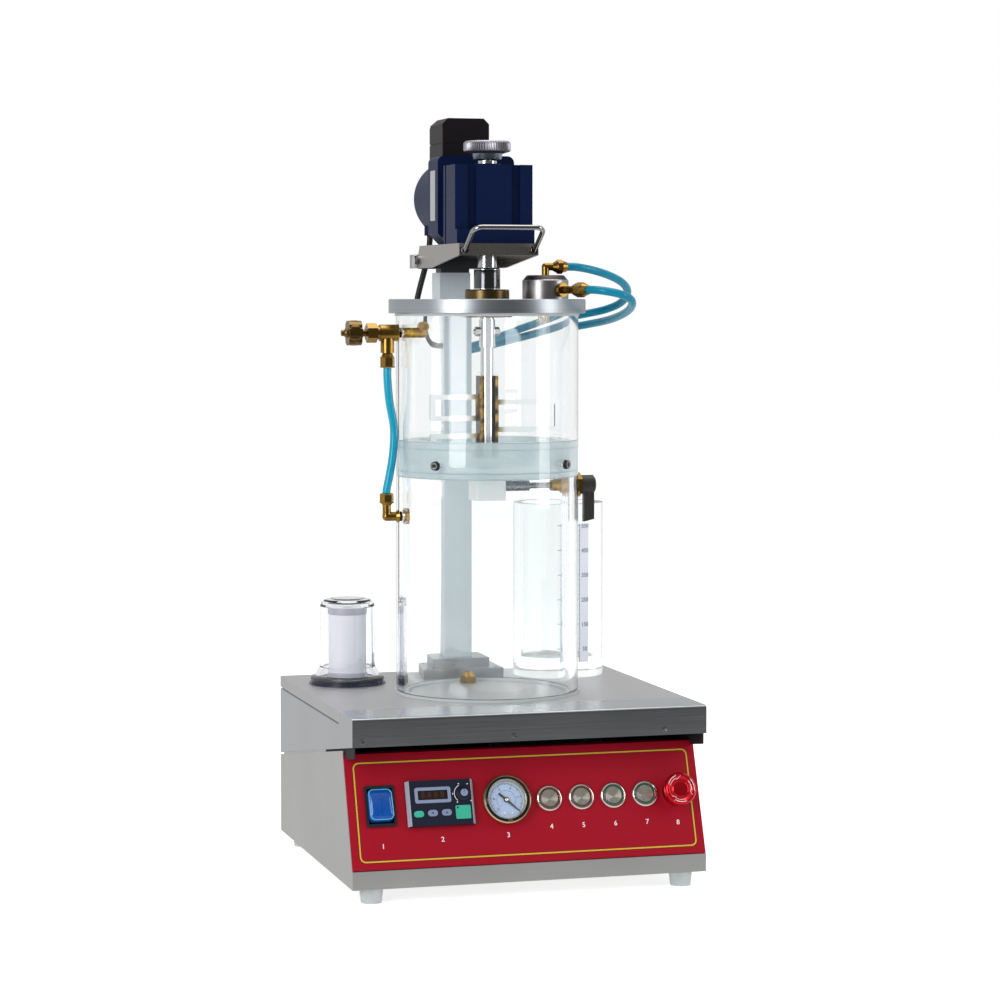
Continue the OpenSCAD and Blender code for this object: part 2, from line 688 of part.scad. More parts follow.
module key_outline(i) {
    if (i < 3) oval(gov_keys[i][2], gov_keys[i][3]);
    else rounded(gov_keys[i][2], gov_keys[i][3], 1.2);
}

// Speed governor: bevelled face with a sunk display, pockets for its keys and a knob bore
module governor_case() color("#1f2230") place() on_panel(gov_x, ctrl_s) difference() {
    union() {
        translate([0, gov_h / 2, 0]) rotate([90, 0, 0]) linear_extrude(gov_h)
            polygon([[-gov_w / 2, 0], [gov_w / 2, 0], [gov_w / 2, 1.5], [gov_w / 2 - 2.5, gov_rise],
            [2.5 - gov_w / 2, gov_rise], [-gov_w / 2, 1.5]]);
        translate([0, 0, -30]) slab(gov_w - 6, gov_h - 5.6, 31, 2);
    }
    translate([gov_window_at[0], gov_window_at[1], gov_rise - 1.2]) slab(28.8, 8.8, 3, 0.6);
    for (i = [0:3]) translate([gov_keys[i][0], gov_keys[i][1], gov_rise - key_depth - key_travel - 0.2])
        linear_extrude(9) offset_key(i);
    translate([gov_knob_at[0], gov_knob_at[1], gov_rise - 8]) cylinder(d = 3 + 2 * run_fit, h = 10);
}

// A key's outline grown by the gap between parts that move
module offset_key(i) {
    if (i < 3) oval(gov_keys[i][2] + 2 * move_gap, gov_keys[i][3] + 2 * move_gap);
    else rounded(gov_keys[i][2] + 2 * move_gap, gov_keys[i][3] + 2 * move_gap, 1.2 + move_gap);
}

module governor_key(i, tint) color(tint) place() on_panel(gov_x, ctrl_s)
    translate([gov_keys[i][0], gov_keys[i][1], gov_rise - key_depth])
        linear_extrude(key_depth + key_rise) key_outline(i);

// Turning knob of the governor on its spindle
module governor_knob() color("#8fa3c8") place() on_panel(gov_x, ctrl_s)
    translate([gov_knob_at[0], gov_knob_at[1], gov_rise]) {
        difference() {
            translate([0, 0, move_gap]) cylinder(d1 = gov_knob_d, d2 = gov_knob_d - 0.8, h = 5);
            translate([-0.5, 0, 4.6]) cube([1, gov_knob_d, 2]);
        }
        translate([0, 0, -7.5]) cylinder(d = 3, h = 8);
    }

gauge_dial_z = 2.4;
pointer_angle = -43;

// Vacuum gauge: bezel, cup with the dial, back case, spindle and threaded stem
module gauge_case() color("#c8b27c") place() on_panel(gauge_x, ctrl_s) {
    difference() {
        union() {
            cylinder(d = gauge_d, h = gauge_rise - 2);
            translate([0, 0, gauge_rise - 2]) cylinder(d1 = gauge_d, d2 = gauge_d - 3, h = 2);
            translate([0, 0, -22]) cylinder(d = gauge_d - 4.4, h = 23);
            translate([0, 0, -36]) cylinder(d = 12, h = 15);
        }
        translate([0, 0, gauge_dial_z]) cylinder(d = gauge_d - 8, h = 9);
        translate([0, 0, -37]) cylinder(d = 4, h = 18);
    }
    translate([0, 0, gauge_dial_z]) cylinder(d = 1.6, h = 2.4);
}

// Pointer with a long tip, a short tail and a round hub, bored for the spindle
module gauge_pointer() color("#101010") place() on_panel(gauge_x, ctrl_s)
    translate([0, 0, gauge_dial_z + 0.6]) rotate([0, 0, pointer_angle]) difference() {
        union() {
            cylinder(d = 5, h = 1.6);
            linear_extrude(0.8) polygon([[-9, -1], [-9, 1], [0, 1.2], [17, 0.3], [17, -0.3], [0, -1.2]]);
        }
        translate([0, 0, -cut]) cylinder(d = 1.6 + 2 * run_fit, h = 4);
    }

// Panel bodies of the four push buttons and the emergency stop, each with its nut
module switch_bodies() color("#d9d4c4") place() {
    for (x = button_xs) on_panel(x, ctrl_s) difference() {
        union() {
            cylinder(d1 = button_d, d2 = button_d - 0.6, h = 1.8);
            translate([0, 0, 1.8]) cylinder(d1 = button_d - 0.6, d2 = button_d - 4, h = 1.4);
            translate([0, 0, -30]) cylinder(d = button_d - 6.2, h = 31);
            translate([0, 0, -sheet_t - 4]) cylinder(d = button_d + 1, h = 4, $fn = 6);
        }
        translate([0, 0, -9]) cylinder(d = cap_d + 2 * move_gap, h = 15);
        translate([0, 0, 2]) cylinder(d = cap_d + 3, h = 3);
    }
    on_panel(estop_x, ctrl_s) difference() {
        union() {
            cylinder(d = 27, h = 2.6);
            translate([0, 0, -34]) cylinder(d = 22, h = 35);
            translate([0, 0, -sheet_t - 4]) cylinder(d = 28, h = 4, $fn = 6);
        }
        translate([0, 0, -24]) cylinder(d = plunger_d + 2 * run_fit, h = 30);
    }
}

module button_cap(i) color("#cfd2d4") place() on_panel(button_xs[i], ctrl_s) {
    translate([0, 0, -6]) cylinder(d = cap_d, h = 8.6);
}

plunger_d = 14;
spigot_d = 8;
plunger_top = 7.6;

// Plunger of the emergency stop with the spigot that its head turns on
module estop_plunger() color("#3a3a3e") place() on_panel(estop_x, ctrl_s) {
    translate([0, 0, -19]) cylinder(d = plunger_d, h = 19 + plunger_top);
    cylinder(d = spigot_d, h = plunger_top + 8);
}

// Dished red head of the emergency stop
module estop_head() color("#d01220") place() on_panel(estop_x, ctrl_s)
    translate([0, 0, plunger_top + move_gap]) {
        high = estop_rise - plunger_top - move_gap;
        r = estop_d / 2;
        difference() {
            rotate_extrude() difference() {
                polygon([[0, 0], [10, 0], [r - 3, 3], [r, 6], [r, high - estop_bevel],
                    [r - estop_bevel, high], [9.5, high - 2.4], [8.5, high - 2.4], [7.5, high - 1.2],
                    [0, high - 1.2]]);
            }
            translate([0, 0, -cut]) cylinder(d = spigot_d + 2 * run_fit, h = 8 + 2 * cut);
        }
    }

// Base of the filter on the deck: gasket disc, spigot for the cartridge and pipe stub
module filter_base() color("#2a2c30") place() translate([filter_x, filter_y, deck_z]) {
    difference() {
        union() {
            cylinder(d = filter_foot_d + 3, h = 1.6);
            cylinder(d = filter_foot_d - 2, h = 4);
            cylinder(d = filter_foot_d - 2 * filter_wall - 10, h = 7.6);
            cylinder(d = cartridge_d + 2, h = 9);
            cylinder(d = 16, h = 16);
            translate([0, 0, -14]) cylinder(d = 12, h = 15);
        }
        translate([0, 0, -15]) cylinder(d = 6, h = 40);
    }
}

// White filter cartridge with its cap, slipped over the base's spigot
module filter_cartridge() color("#eef1f4") place() translate([filter_x, filter_y, deck_z]) {
    difference() {
        union() {
            translate([0, 0, 9.3]) cylinder(d = cartridge_d, h = filter_h - 23.8);
            translate([0, 0, filter_h - 14.5]) cylinder(d = cartridge_d + 1, h = 7);
        }
        translate([0, 0, 9]) cylinder(d = 16.2, h = filter_h - 28);
    }
}

// Clear bowl of the filter: a bell with a rounded crown, a flared skirt and bayonet lugs
module filter_bowl() color("#dfe6ec", 0.4) place() translate([filter_x, filter_y, deck_z]) {
    r = filter_d / 2;
    rf = filter_foot_d / 2;
    w = filter_wall;
    difference() {
        rotate_extrude() polygon([[0, filter_h], [r - 11, filter_h], [r - 5, filter_h - 1.2],
            [r - 1.6, filter_h - 3.6], [r, filter_h - 7.5], [r + 0.7, 18], [rf - 4.5, 9], [rf, 7],
            [rf, 4.3], [rf - w - 0.2, 4.3], [rf - w - 4, 8], [r + 0.7 - w, 16.5], [r - w, filter_h - 8.5],
            [r - 2.6 - w, filter_h - 5.2], [r - 8 - w, filter_h - 4], [0, filter_h - 4]]);
    }
    for (a = [20:120:260]) rotate([0, 0, a]) translate([rf - 1, -5, 4.3]) cube([2.6, 10, 2.6]);
}

// Two seal rings, one under the tube and one under the lid
module seal_rings() color("#d8dad8") place() for (z = [deck_z, lid_z - gasket_t])
    translate([0, vessel_y, z]) difference() {
        cylinder(r = tube_r + 1, h = gasket_t);
        translate([0, 0, -cut]) cylinder(r = bore_r - 4, h = gasket_t + 2 * cut);
    }

// Clear tube of the vessel with the holes of its ports and of the bowl's screws
module vessel_tube() color("#e6edf0", 0.35) place() translate([0, vessel_y, tube_z]) difference() {
    cylinder(r = tube_r, h = tube_len);
    translate([0, 0, -cut]) cylinder(r = bore_r, h = tube_len + 2 * cut);
    for (z = [needle_z, elbow_z]) translate([0, 0, z - gasket_t])
        bar_x(-tube_r - cut, -bore_r + cut, port_d + 0.4);
    translate([0, 0, valve_z - tube_z]) bar_x(bore_r - cut, tube_r + cut, gland_d + 0.4);
    for (a = bowl_screw_as) rotate([0, 0, a]) translate([0, 0, bowl_base + bowl_screw_z - tube_z])
        bar_x(bore_r - cut, tube_r + cut, 5.4);
}

// Dished bowl floor, turned from a thick disc, with two seal grooves and a central drain
module bowl_floor() color("#c6d2cc", 0.8) place() translate([0, vessel_y, bowl_base]) difference() {
    cylinder(r = bowl_r, h = bowl_h);
    translate([0, 0, bowl_floor_t]) cylinder(r1 = bowl_r - bowl_wall - 4, r2 = bowl_r - bowl_wall, h = 6);
    translate([0, 0, bowl_floor_t + 6 - 0.01]) cylinder(r = bowl_r - bowl_wall, h = bowl_h);
    translate([0, 0, bowl_floor_t - 4]) cylinder(d1 = drain_d, d2 = 44, h = 4.01);
    translate([0, 0, -cut]) cylinder(d = drain_d, h = bowl_h);
    for (z = [5, bowl_h - 8]) translate([0, 0, z]) difference() {
        cylinder(r = bowl_r + cut, h = 2);
        translate([0, 0, -cut]) cylinder(r = bowl_r - 1.5, h = 2 + 2 * cut);
    }
    for (a = bowl_screw_as) rotate([0, 0, a]) translate([0, 0, bowl_screw_z])
        bar_x(bore_r - 10, tube_r, 5.1);
}

port_d = 10;
port_x = -2;
port_y = 224;
gland_d = 12;
barb_xs = [for (k = [-0.173, -0.104, -0.035]) k * cab_w];
barb_z = 48;
barb_d = 14;
tail_d = 8;
union_turn = -65;
nozzle_xs = [-5, 2.2];

// Brass elbow under the left hose, with its nut, its port through the wall and a lock nut
module lower_elbow() translate([0, vessel_y, deck_z + elbow_z]) {
    difference() {
        union() {
            bar_x(-tube_r - 12, -bore_r + 4, port_d - 1);
            translate([-tube_r - 3.2, 0, 0]) rotate([0, 90, 0]) cylinder(d1 = port_d - 1, d2 = 13, h = 3);
            bar_x(-bore_r + 0.6, -bore_r + 4, 16);
            translate([-tube_r - 12, 0, 0]) sphere(d = port_d - 1);
            translate([-tube_r - 12, 0, 0]) cylinder(d = 8.4, h = 11);
            translate([-tube_r - 12, 0, 11]) cylinder(d1 = 8.4, d2 = 13, h = 3);
            translate([-tube_r - 12, 0, 14]) cylinder(d = 14, h = 7.5, $fn = 6);
        }
        bar_x(-tube_r - 8, -bore_r + 5, 5);
    }
}

// Brass nozzle inside the bowl: a short pipe, a knuckle and a mouth that faces the front
module bowl_nozzle() translate([0, vessel_y, deck_z + needle_z]) {
    difference() {
        union() {
            bar_x(-bore_r + 0.2, -bore_r + 17, port_d);
            translate([-bore_r + 17, 0, 0]) sphere(d = port_d);
            translate([-bore_r + 17, 0, 0]) cylinder(d = port_d, h = 6);
            translate([-bore_r + 17, 0, 6]) sphere(d = port_d);
            translate([-bore_r + 17, 0, 6]) rotate([90, 0, 0]) cylinder(d = port_d, h = 8);
        }
        translate([-bore_r + 17, 0, 6]) rotate([90, 0, 0]) cylinder(d = 6, h = 9);
    }
}

// Gland of the pour valve through the wall, with an inner collar and an outer flange nut
module valve_gland() translate([0, vessel_y, valve_z]) difference() {
    union() {
        bar_x(bore_r - 15.5, bore_r - 5, 11);
        bar_x(bore_r - 5, bore_r - 0.6, 16);
        bar_x(bore_r - 12, tube_r + 1, gland_d);
        hex_x(tube_r + 0.3, tube_r + 5.9, 21);
    }
    bar_x(bore_r - 20, tube_r + 10, stem_d + 2 * run_fit);
}

// Brass elbow on top of the manifold and the straight union in its side, each with a nut
module manifold_unions() {
    translate([manifold_x, vessel_y, lid_top + manifold_h]) cylinder(d = 7.5, h = 8.5);
    translate([manifold_x, vessel_y, hose_z]) {
        sphere(d = 7.5);
        bar_x(0, 8, 7.5);
        translate([7, 0, 0]) rotate([0, 90, 0]) cylinder(d1 = 7.5, d2 = 13, h = 5);
        hex_x(12, 17, 12.4);
        translate([17, 0, 0]) rotate([0, 90, 0]) cylinder(d1 = 12.4, d2 = 9.4, h = 5);
    }
    translate([manifold_x, vessel_y, union_z]) rotate([0, 0, union_turn]) {
        start = manifold_d / 2;
        bar_x(start - 3, start + 3, 10);
        bar_x(start + 1, start + 4, 13.5);
        bar_x(start + 4, start + 18, 7.5);
        translate([start + 16, 0, 0]) rotate([0, 90, 0]) cylinder(d1 = 7.5, d2 = 13.5, h = 8);
        hex_x(start + 24, start + 34, 12.8);
        translate([start + 34, 0, 0]) rotate([0, 90, 0]) cylinder(d1 = 12.8, d2 = 9.4, h = 6);
    }
    for (x = nozzle_xs) translate([manifold_x + x, vessel_y, lid_z - 9]) cylinder(d = 4, h = 9);
}

// A hose tail behind the cabinet: a nut and a plain stub for a hose and its clip
module hose_barb() difference() {
    union() {
        translate([0, 0, -12]) cylinder(d = barb_d, h = 12.01);
        cylinder(d = 18, h = 5, $fn = 6);
        cylinder(d = tail_d, h = barb_reach);
    }
    translate([0, 0, -13]) cylinder(d = 5, h = barb_reach + 14);
}

// Brass fittings that are fixed: deck port, nozzle, elbows, gland and the barbs at the back
module pipe_fittings() color("#b8892e") place() {
    translate([port_x, port_y, deck_z]) difference() {
        union() {
            translate([0, 0, -10]) cylinder(d = port_d, h = 11);
            cylinder(d = 17, h = 7, $fn = 6);
            translate([0, 0, 7]) cylinder(d1 = 14, d2 = 10, h = 4.5);
        }
        translate([0, 0, -11]) cylinder(d = 5, h = 30);
    }
    lower_elbow();
    bowl_nozzle();
    valve_gland();
    manifold_unions();
    for (x = barb_xs) translate([x, cab_d, barb_z]) rotate([-90, 0, 0]) hose_barb();
}

// White block of the pour valve with its drain, its ball seat and the bore of the stem
module pour_block() color("#f4f4f2") place() translate([0, vessel_y, valve_z]) difference() {
    translate([0, 0, valve_drop - block_h]) slab(block_w, block_w, block_h, 3);
    sphere(d = ball_d + 2 * move_gap);
    translate([0, 0, -block_h]) cylinder(d = drain_d, h = 2 * block_h);
    bar_x(0, block_w, stem_d + 2 * run_fit);
}

// Ball, stem and coupling of the pour valve; the ball's bore is in line with the hanging lever
module valve_stem() color("#8f9296") place() translate([0, vessel_y, valve_z]) difference() {
    union() {
        sphere(d = ball_d);
        bar_x(0, tube_r + 18, stem_d);
        bar_x(block_w / 2 + move_gap, bore_r - 39, coupling_d);
    }
    translate([0, 0, -20]) cylinder(d = ball_bore, h = 40);
    translate([22, 0, 0]) cylinder(d = 3, h = 9);
}

ball_bore = 11;

// Lever of the pour valve: a stepped hub on the stem and a flat lever that hangs down
module valve_lever() color("#26262a") place() translate([0, vessel_y, valve_z]) difference() {
    union() {
        bar_x(tube_r + 6.3, tube_r + 19.2, hub_d);
        translate([tube_r + 19.2, 0, 0]) rotate([0, 90, 0]) cylinder(d1 = hub_d, d2 = hub_d - 4, h = 1.6);
        translate([tube_r + 9.5, -3.2, 0]) rotate([90, 0, 0]) mirror([0, 0, 1]) linear_extrude(6.4)
            polygon([[0, 0], [lever_w, 0], [lever_w, 2.6 - lever_reach], [0, -lever_reach]]);
    }
    bar_x(tube_r, tube_r + 18 + run_fit, stem_d + 2 * run_fit);
}

// Brass needle valve: body, gland nut, down port with its nut, and the port in the wall
module needle_valve() color("#b8892e") place() translate([0, vessel_y, deck_z + needle_z]) {
    difference() {
        union() {
            bar_x(-tube_r - 19, -tube_r - 0.5, 16.4);
            bar_x(-tube_r - 0.5, -bore_r, port_d);
            hex_x(-tube_r - 32, -tube_r - 22, 16.6);
            bar_x(-tube_r - 22, -tube_r - 19, 13);
            translate([-tube_r - 11, 0, -19.5]) cylinder(d = 13.5, h = 19.5);
            translate([-tube_r - 11, 0, -24]) cylinder(d1 = 13, d2 = 9.5, h = 4.5);
            translate([-tube_r - 11, 0, -33]) cylinder(d = 14.4, h = 9, $fn = 6);
        }
        bar_x(-tube_r - 33, -tube_r - 16, stem_bore_d);
    }
}

needle_stem_d = 7;
stem_bore_d = needle_stem_d + 2 * run_fit;

// Fluted handwheel on its threaded needle, with an acorn nut on its end
module handwheel() color("#8c6f3c") place() translate([0, vessel_y, deck_z + needle_z]) {
    bar_x(-tube_r - 51, -tube_r - 20, needle_stem_d);
    difference() {
        bar_x(-tube_r - 51, -tube_r - 38, wheel_d);
        for (i = [0:wheel_flutes - 1]) rotate([360 / wheel_flutes * i, 0, 0])
            translate([0, 0, wheel_d / 2 + 1.4]) bar_x(-tube_r - 52, -tube_r - 37, 6);
    }
    translate([-tube_r - 51, 0, 0]) sphere(d = 9);
    bar_x(-tube_r - 57, -tube_r - 51, 6);
}

module left_hose() color("#12b5dd") place() swept(left_route, hose_d, 1, [0, 1, 0]);
module upper_hose() color("#0b86b5") place() swept(upper_route, hose_d, 2, [0, 0, 1]);
module lower_hose() color("#0b86b5") place() swept(lower_route, hose_d, 1, [0, 0, 1]);
module motor_cable() color("#141416") place() swept(cable_route, cable_d, 1, [1, -1, 0]);

// Thick lid with the bore of the seal housing and the holes of the nozzles
module lid_plate() color("#9ba0a4") place() translate([0, vessel_y, lid_z]) difference() {
    cylinder(d = lid_d, h = lid_t);
    translate([0, 0, -cut]) cylinder(d = neck_d + 0.2, h = lid_t + 2 * cut);
    for (x = nozzle_xs) translate([manifold_x + x, 0, -cut]) cylinder(d = 4, h = lid_t + 2 * cut);
}

neck_d = 26;

// Brass seal housing on the lid with its neck, and the flange nut under the lid
module shaft_seal() color("#9a7434") place() translate([0, vessel_y, 0]) difference() {
    union() {
        translate([0, 0, lid_top]) cylinder(d = seal_d, h = seal_h - 1);
        translate([0, 0, lid_top + seal_h - 1]) cylinder(d1 = seal_d, d2 = seal_d - 2, h = 1);
        translate([0, 0, lid_z - 4]) cylinder(d = neck_d, h = lid_t + 5);
        translate([0, 0, lid_z - 4]) cylinder(d = seal_flange_d, h = 4);
    }
    translate([0, 0, lid_z - 5]) cylinder(d = seal_shaft_d + 2 * run_fit, h = lid_t + seal_h + 10);
}

// Aluminium manifold on the lid, with a chamfered shoulder
module manifold() color("#8f949a") place() translate([manifold_x, vessel_y, lid_top]) difference() {
    union() {
        cylinder(d = manifold_d, h = manifold_h - 5);
        translate([0, 0, manifold_h - 5]) cylinder(d1 = manifold_d, d2 = manifold_d - 11, h = 5);
    }
    translate([0, 0, union_z - lid_top]) rotate([0, 0, union_turn])
        bar_x(manifold_d / 2 - 3.1, manifold_d, 10.4);
}

shaft_low = bowl_base + bowl_floor_t + 5;
sleeve_top = lid_z - 6;
frame_top = shaft_low + frame_len;
sleeve_len = 0.4865 * (sleeve_top - frame_top);

// Paddle shaft: polished collar with a hexagon socket, seal shaft, sleeve, cross bolt and shaft
module paddle_shaft() color("#b8bcc0") place() translate([0, vessel_y, 0]) {
    difference() {
        union() {
            translate([0, 0, collar_z]) cylinder(d = collar_d, h = collar_h - 1);
            translate([0, 0, collar_top - 1]) cylinder(d1 = collar_d, d2 = collar_d - 2, h = 1);
            translate([0, 0, sleeve_top - 1]) cylinder(d = seal_shaft_d, h = collar_z - sleeve_top + 2);
        }
        translate([0, 0, collar_top - hex_depth - 2])
            cylinder(d = (hex_af + 2 * hex_slack) / cos(30), h = 20, $fn = 6);
    }
    translate([0, 0, sleeve_top - sleeve_len]) cylinder(d = 16, h = sleeve_len);
    translate([0, 0, shaft_low]) cylinder(d = shaft_d, h = sleeve_top - shaft_low);
    translate([0, 0, sleeve_top - 0.444 * sleeve_len]) {
        bar_x(-14, 13, 5);
        hex_x(-12.5, -6, 8);
        hex_x(6, 12, 8);
    }
}

// One closed frame of flat bar, from its inner to its outer edge and between two heights
module loop(x0, x1, z0, z1) {
    translate([(x0 + x1) / 2, bar_t / 2, (z0 + z1) / 2]) rotate([90, 0, 0]) linear_extrude(bar_t)
        difference() {
            rounded(x1 - x0, z1 - z0, 3);
            square([x1 - x0 - 2 * bar_w, z1 - z0 - 2 * bar_w], center = true);
        }
}

// Frames of the paddle: two loops on the left, one on the right, on plates beside the shaft
module paddle_frames() color("#c4c7ca") place() translate([0, vessel_y, 0]) difference() {
    union() {
        for (s = [-1, 1]) translate([s * (shaft_d / 2 + 1.5) - 1.5, -7, shaft_low])
            cube([3, 14, frame_top - shaft_low]);
        loop(-reach_left * bore_r, -shaft_d / 2, frame_top - 44.2, frame_top - 18.2);
        loop(-reach_left * bore_r, -shaft_d / 2, shaft_low + 1, frame_top - 56.6);
        loop(shaft_d / 2, reach_right * bore_r, frame_top - 55.5, frame_top - 23.5);
    }
    translate([0, 0, shaft_low - cut]) cylinder(d = shaft_d, h = frame_top);
}

col_base = deck_z + plate_t;

// Hollow square column with a closed top and the holes of the hoses and the cable
module column() color("#a9b6bf") place() translate([0, col_y, col_base]) difference() {
    high = col_top - col_base;
    translate([-col_w / 2, -col_w / 2, 0]) cube([col_w, col_w, high]);
    translate([-col_w / 2 + col_wall, -col_w / 2 + col_wall, -cut])
        cube([col_w - 2 * col_wall, col_w - 2 * col_wall, high - 8]);
    for (r = [upper_route, lower_route]) let (p = r[len(r) - 1])
        translate([0, p[1] - col_y, p[2] - col_base]) bar_x(0, col_w, hose_d + 1.2);
    translate([0, 0, cable_route[11][2] - col_base]) bar_x(-col_w, 0, cable_d + 1);
}

// Foot of the column: a lower plate and a block with the column's socket
module column_foot() color("#8b9096") place() difference() {
    union() {
        translate([-plate_w / 2, plate_y - plate_d / 2, deck_z]) cube([plate_w, plate_d, plate_t]);
        translate([-socket_w / 2, plate_y - socket_d / 2, deck_z + plate_t])
            cube([socket_w, socket_d, socket_h]);
    }
    translate([-col_w / 2 - 0.1, col_y - col_w / 2 - 0.1, col_base])
        cube([col_w + 0.2, col_w + 0.2, socket_h + cut]);
    for (x = [-1, 1], y = [-1, 1])
        translate([x * (plate_w / 2 - 7), plate_y + y * (plate_d / 2 - 8), deck_z - cut]) {
            cylinder(d = 5.2, h = plate_t + 2 * cut);
            translate([0, 0, plate_t + cut - 4]) cylinder(d = 8.6, h = socket_h + 5);
        }
}

bracket_half = tray_w / 2 - tray_t - move_gap;

// Bracket on the column's top: a foot on the column and a cross block for the hinge bolt
module hinge_bracket() color("#34363a") place() difference() {
    union() {
        translate([-col_w / 2 + 1, col_y - col_w / 2, col_top]) cube([col_w - 2, col_w - 11, 4.3]);
        translate([-bracket_half, 0, pivot_z]) translate([0, pivot_y, 0]) rotate([0, 90, 0])
            cylinder(d = 15, h = 2 * bracket_half);
        translate([-bracket_half, pivot_y - 7.5, pivot_z - 7]) cube([2 * bracket_half, 15, 7]);
    }
    translate([0, pivot_y, pivot_z]) bar_x(-60, 60, pivot_d + 2 * run_fit);
}

// Hinge bolt through the tray's ears, with a domed head and a nut
module hinge_pin() color("#a3a7ab") place() translate([0, pivot_y, pivot_z]) {
    bar_x(-tray_w / 2 - 1, tray_w / 2 + 5, pivot_d);
    bar_x(-tray_w / 2 - 3.5, -tray_w / 2 - move_gap, 13);
    hex_x(tray_w / 2 + move_gap, tray_w / 2 + 5, 12);
}

// Folded tray of the head: top, front flange and side plates that end in the hinge ears
module head_tray() color("#a7a5a2") place() {
    low = pivot_z - 6.8;
    ear_top = pivot_z + 7.2;
    difference() {
        union() {
            translate([-tray_w / 2, tray_y, tray_top - tray_t])
                cube([tray_w, tray_back - tray_y, tray_t]);
            translate([-tray_w / 2, tray_y, tray_top - 11.5]) cube([tray_w, tray_t, 11.5]);
            for (s = [-1, 1]) side_sheet(s * (tray_w - tray_t) / 2 - tray_t / 2, tray_t,
                [[tray_y, tray_top], [tray_back, tray_top - 1.5], [tray_back + 5, ear_top], [pivot_y + 29, ear_top],
                [pivot_y + 29, low], [tray_y + 110, low], [tray_y, tray_top - 11.5]]);
        }
        translate([0, vessel_y, tray_top - 10]) cylinder(d = sleeve_d + 9, h = 20);
        for (s = [-1, 1]) translate([s * handle_half, tray_y - cut, tray_top - 6.7])
            rotate([-90, 0, 0]) cylinder(d = 3.2, h = tray_t + 2 * cut);
        translate([0, pivot_y, pivot_z]) bar_x(-60, 60, pivot_d + 2 * run_fit);
    }
}

tray_back = pivot_y - 11;

// Chrome wire handle, bent in one plane, with a washer and a nut on each leg
module wire_handle() color("#d4d6d8") place() translate([0, tray_y, tray_top - 6.7]) {
    r = 9;
    translate([0, -1.9, 0]) rotate([147.8, 0, 0]) {
        for (s = [-1, 1]) translate([s * handle_half, 0, 0])
            rotate([-90, 0, 0]) cylinder(d = handle_wire, h = handle_reach - r);
        for (s = [-1, 1]) translate([s * (handle_half - r), handle_reach - r, 0])
            rotate([0, 0, s > 0 ? 0 : 90]) rotate_extrude(angle = 90) translate([r, 0]) circle(d = handle_wire);
        translate([0, handle_reach, 0]) bar_x(r - handle_half, handle_half - r, handle_wire);
    }
    for (s = [-1, 1]) translate([s * handle_half, 0, 0]) {
        rotate([90, 0, 0]) cylinder(d = handle_wire + 2.5, h = 3.2);
        rotate([-90, 0, 0]) cylinder(d = 3, h = tray_t + 3);
        translate([0, tray_t, 0]) rotate([-90, 0, 0]) cylinder(d = 5.8, h = 2.4, $fn = 6);
    }
}

// Gear case: a fluted block on a foot that stands out in front, bored for the sleeve
module gear_case() color("#0c1c3f") place() translate([0, vessel_y, tray_top]) {
    back = case_d - case_front;
    difference() {
        union() {
            translate([-case_w / 2, -case_front, 0]) cube([case_w, case_d, case_h]);
            translate([-case_w / 2, -case_front - case_foot, 0]) cube([case_w, case_foot + 1, case_foot_h]);
            translate([0, 0, case_h]) cylinder(d = 27, h = 1.5);
        }
        for (s = [-1, 1]) translate([s * case_w * 0.285 - 4.3, -case_front - cut, case_foot_h])
            cube([8.6, 3.6 + cut, case_h]);
        for (s = [-1, 1]) translate([s * case_w / 2 - 2.2, back - 10, -cut])
            cube([4.4, 4, case_h + 2 * cut]);
        translate([0, 0, -cut]) cylinder(d = sleeve_d + 2 * run_fit, h = case_h + 20);
    }
}

// Motor: neck, square flange with cut lower corners, round barrel with a chamfered end cap and
// the gland of its cable
module gear_motor() color("#0e1f47") place() translate([0, 0, motor_axis]) {
    neck_h = case_h - 6;
    wide = case_w + 0.5;
    translate([0, case_y + case_d, 2 + neck_h / 2 - motor_z]) rotate([-90, 0, 0])
        slab(70, neck_h, flange_y - case_y - case_d, 4);
    difference() {
        translate([0, flange_y, flange_h / 2 - motor_z]) rotate([-90, 0, 0])
            slab(wide, flange_h, flange_t, 7);
        for (s = [-1, 1]) translate([s * wide / 2, flange_y - cut, -motor_z]) rotate([0, 45, 0])
            translate([-8, 0, -8]) cube([16, flange_t + 2 * cut, 16]);
    }
    translate([0, flange_y + flange_t, 0]) rotate([-90, 0, 0]) {
        cylinder(d = motor_d, h = motor_len - 4);
        translate([0, 0, motor_len - 4]) cylinder(d1 = motor_d, d2 = motor_d - 7, h = 4);
    }
    translate([cable_route[0][0], cable_route[0][1], cable_route[0][2] - motor_axis])
        cylinder(d = cable_d + 5, h = 12);
}

// Black terminal box on the motor, with bevelled edges and the seam of its lid
module terminal_box() color("#17161a") place() translate([0, 0, motor_axis]) {
    y0 = flange_y + flange_t;
    low = motor_d / 2;
    top = 80;
    difference() {
        translate([-24.3, y0 + 1, 30]) cube([48.6, 52, top - 30]);
        translate([0, y0, 0]) rotate([-90, 0, 0]) cylinder(d = motor_d + 0.2, h = 80);
        for (s = [-1, 1]) translate([s * 24.3, y0, top]) rotate([0, 45, 0])
            translate([-4, -cut, -4]) cube([8, 60, 8]);
        translate([-30, y0 + 53, top - 9]) rotate([45, 0, 0]) cube([60, 14, 14]);
        translate([-30, y0, low + 15]) difference() {
            cube([60, 60, 0.8]);
            translate([6.5, 2, -cut]) cube([47, 50.2, 3]);
        }
    }
}

hex_af = 8.6;
hex_slack = 1.5;

// Hollow output sleeve of the gear case
module drive_sleeve() color("#c0c4c8") place() translate([0, vessel_y, 0]) difference() {
    translate([0, 0, sleeve_low]) cylinder(d = sleeve_d, h = tray_top + case_h + 4.5 - sleeve_low);
    translate([0, 0, sleeve_low - cut]) cylinder(d = rod_d + 2 * run_fit, h = 200);
}

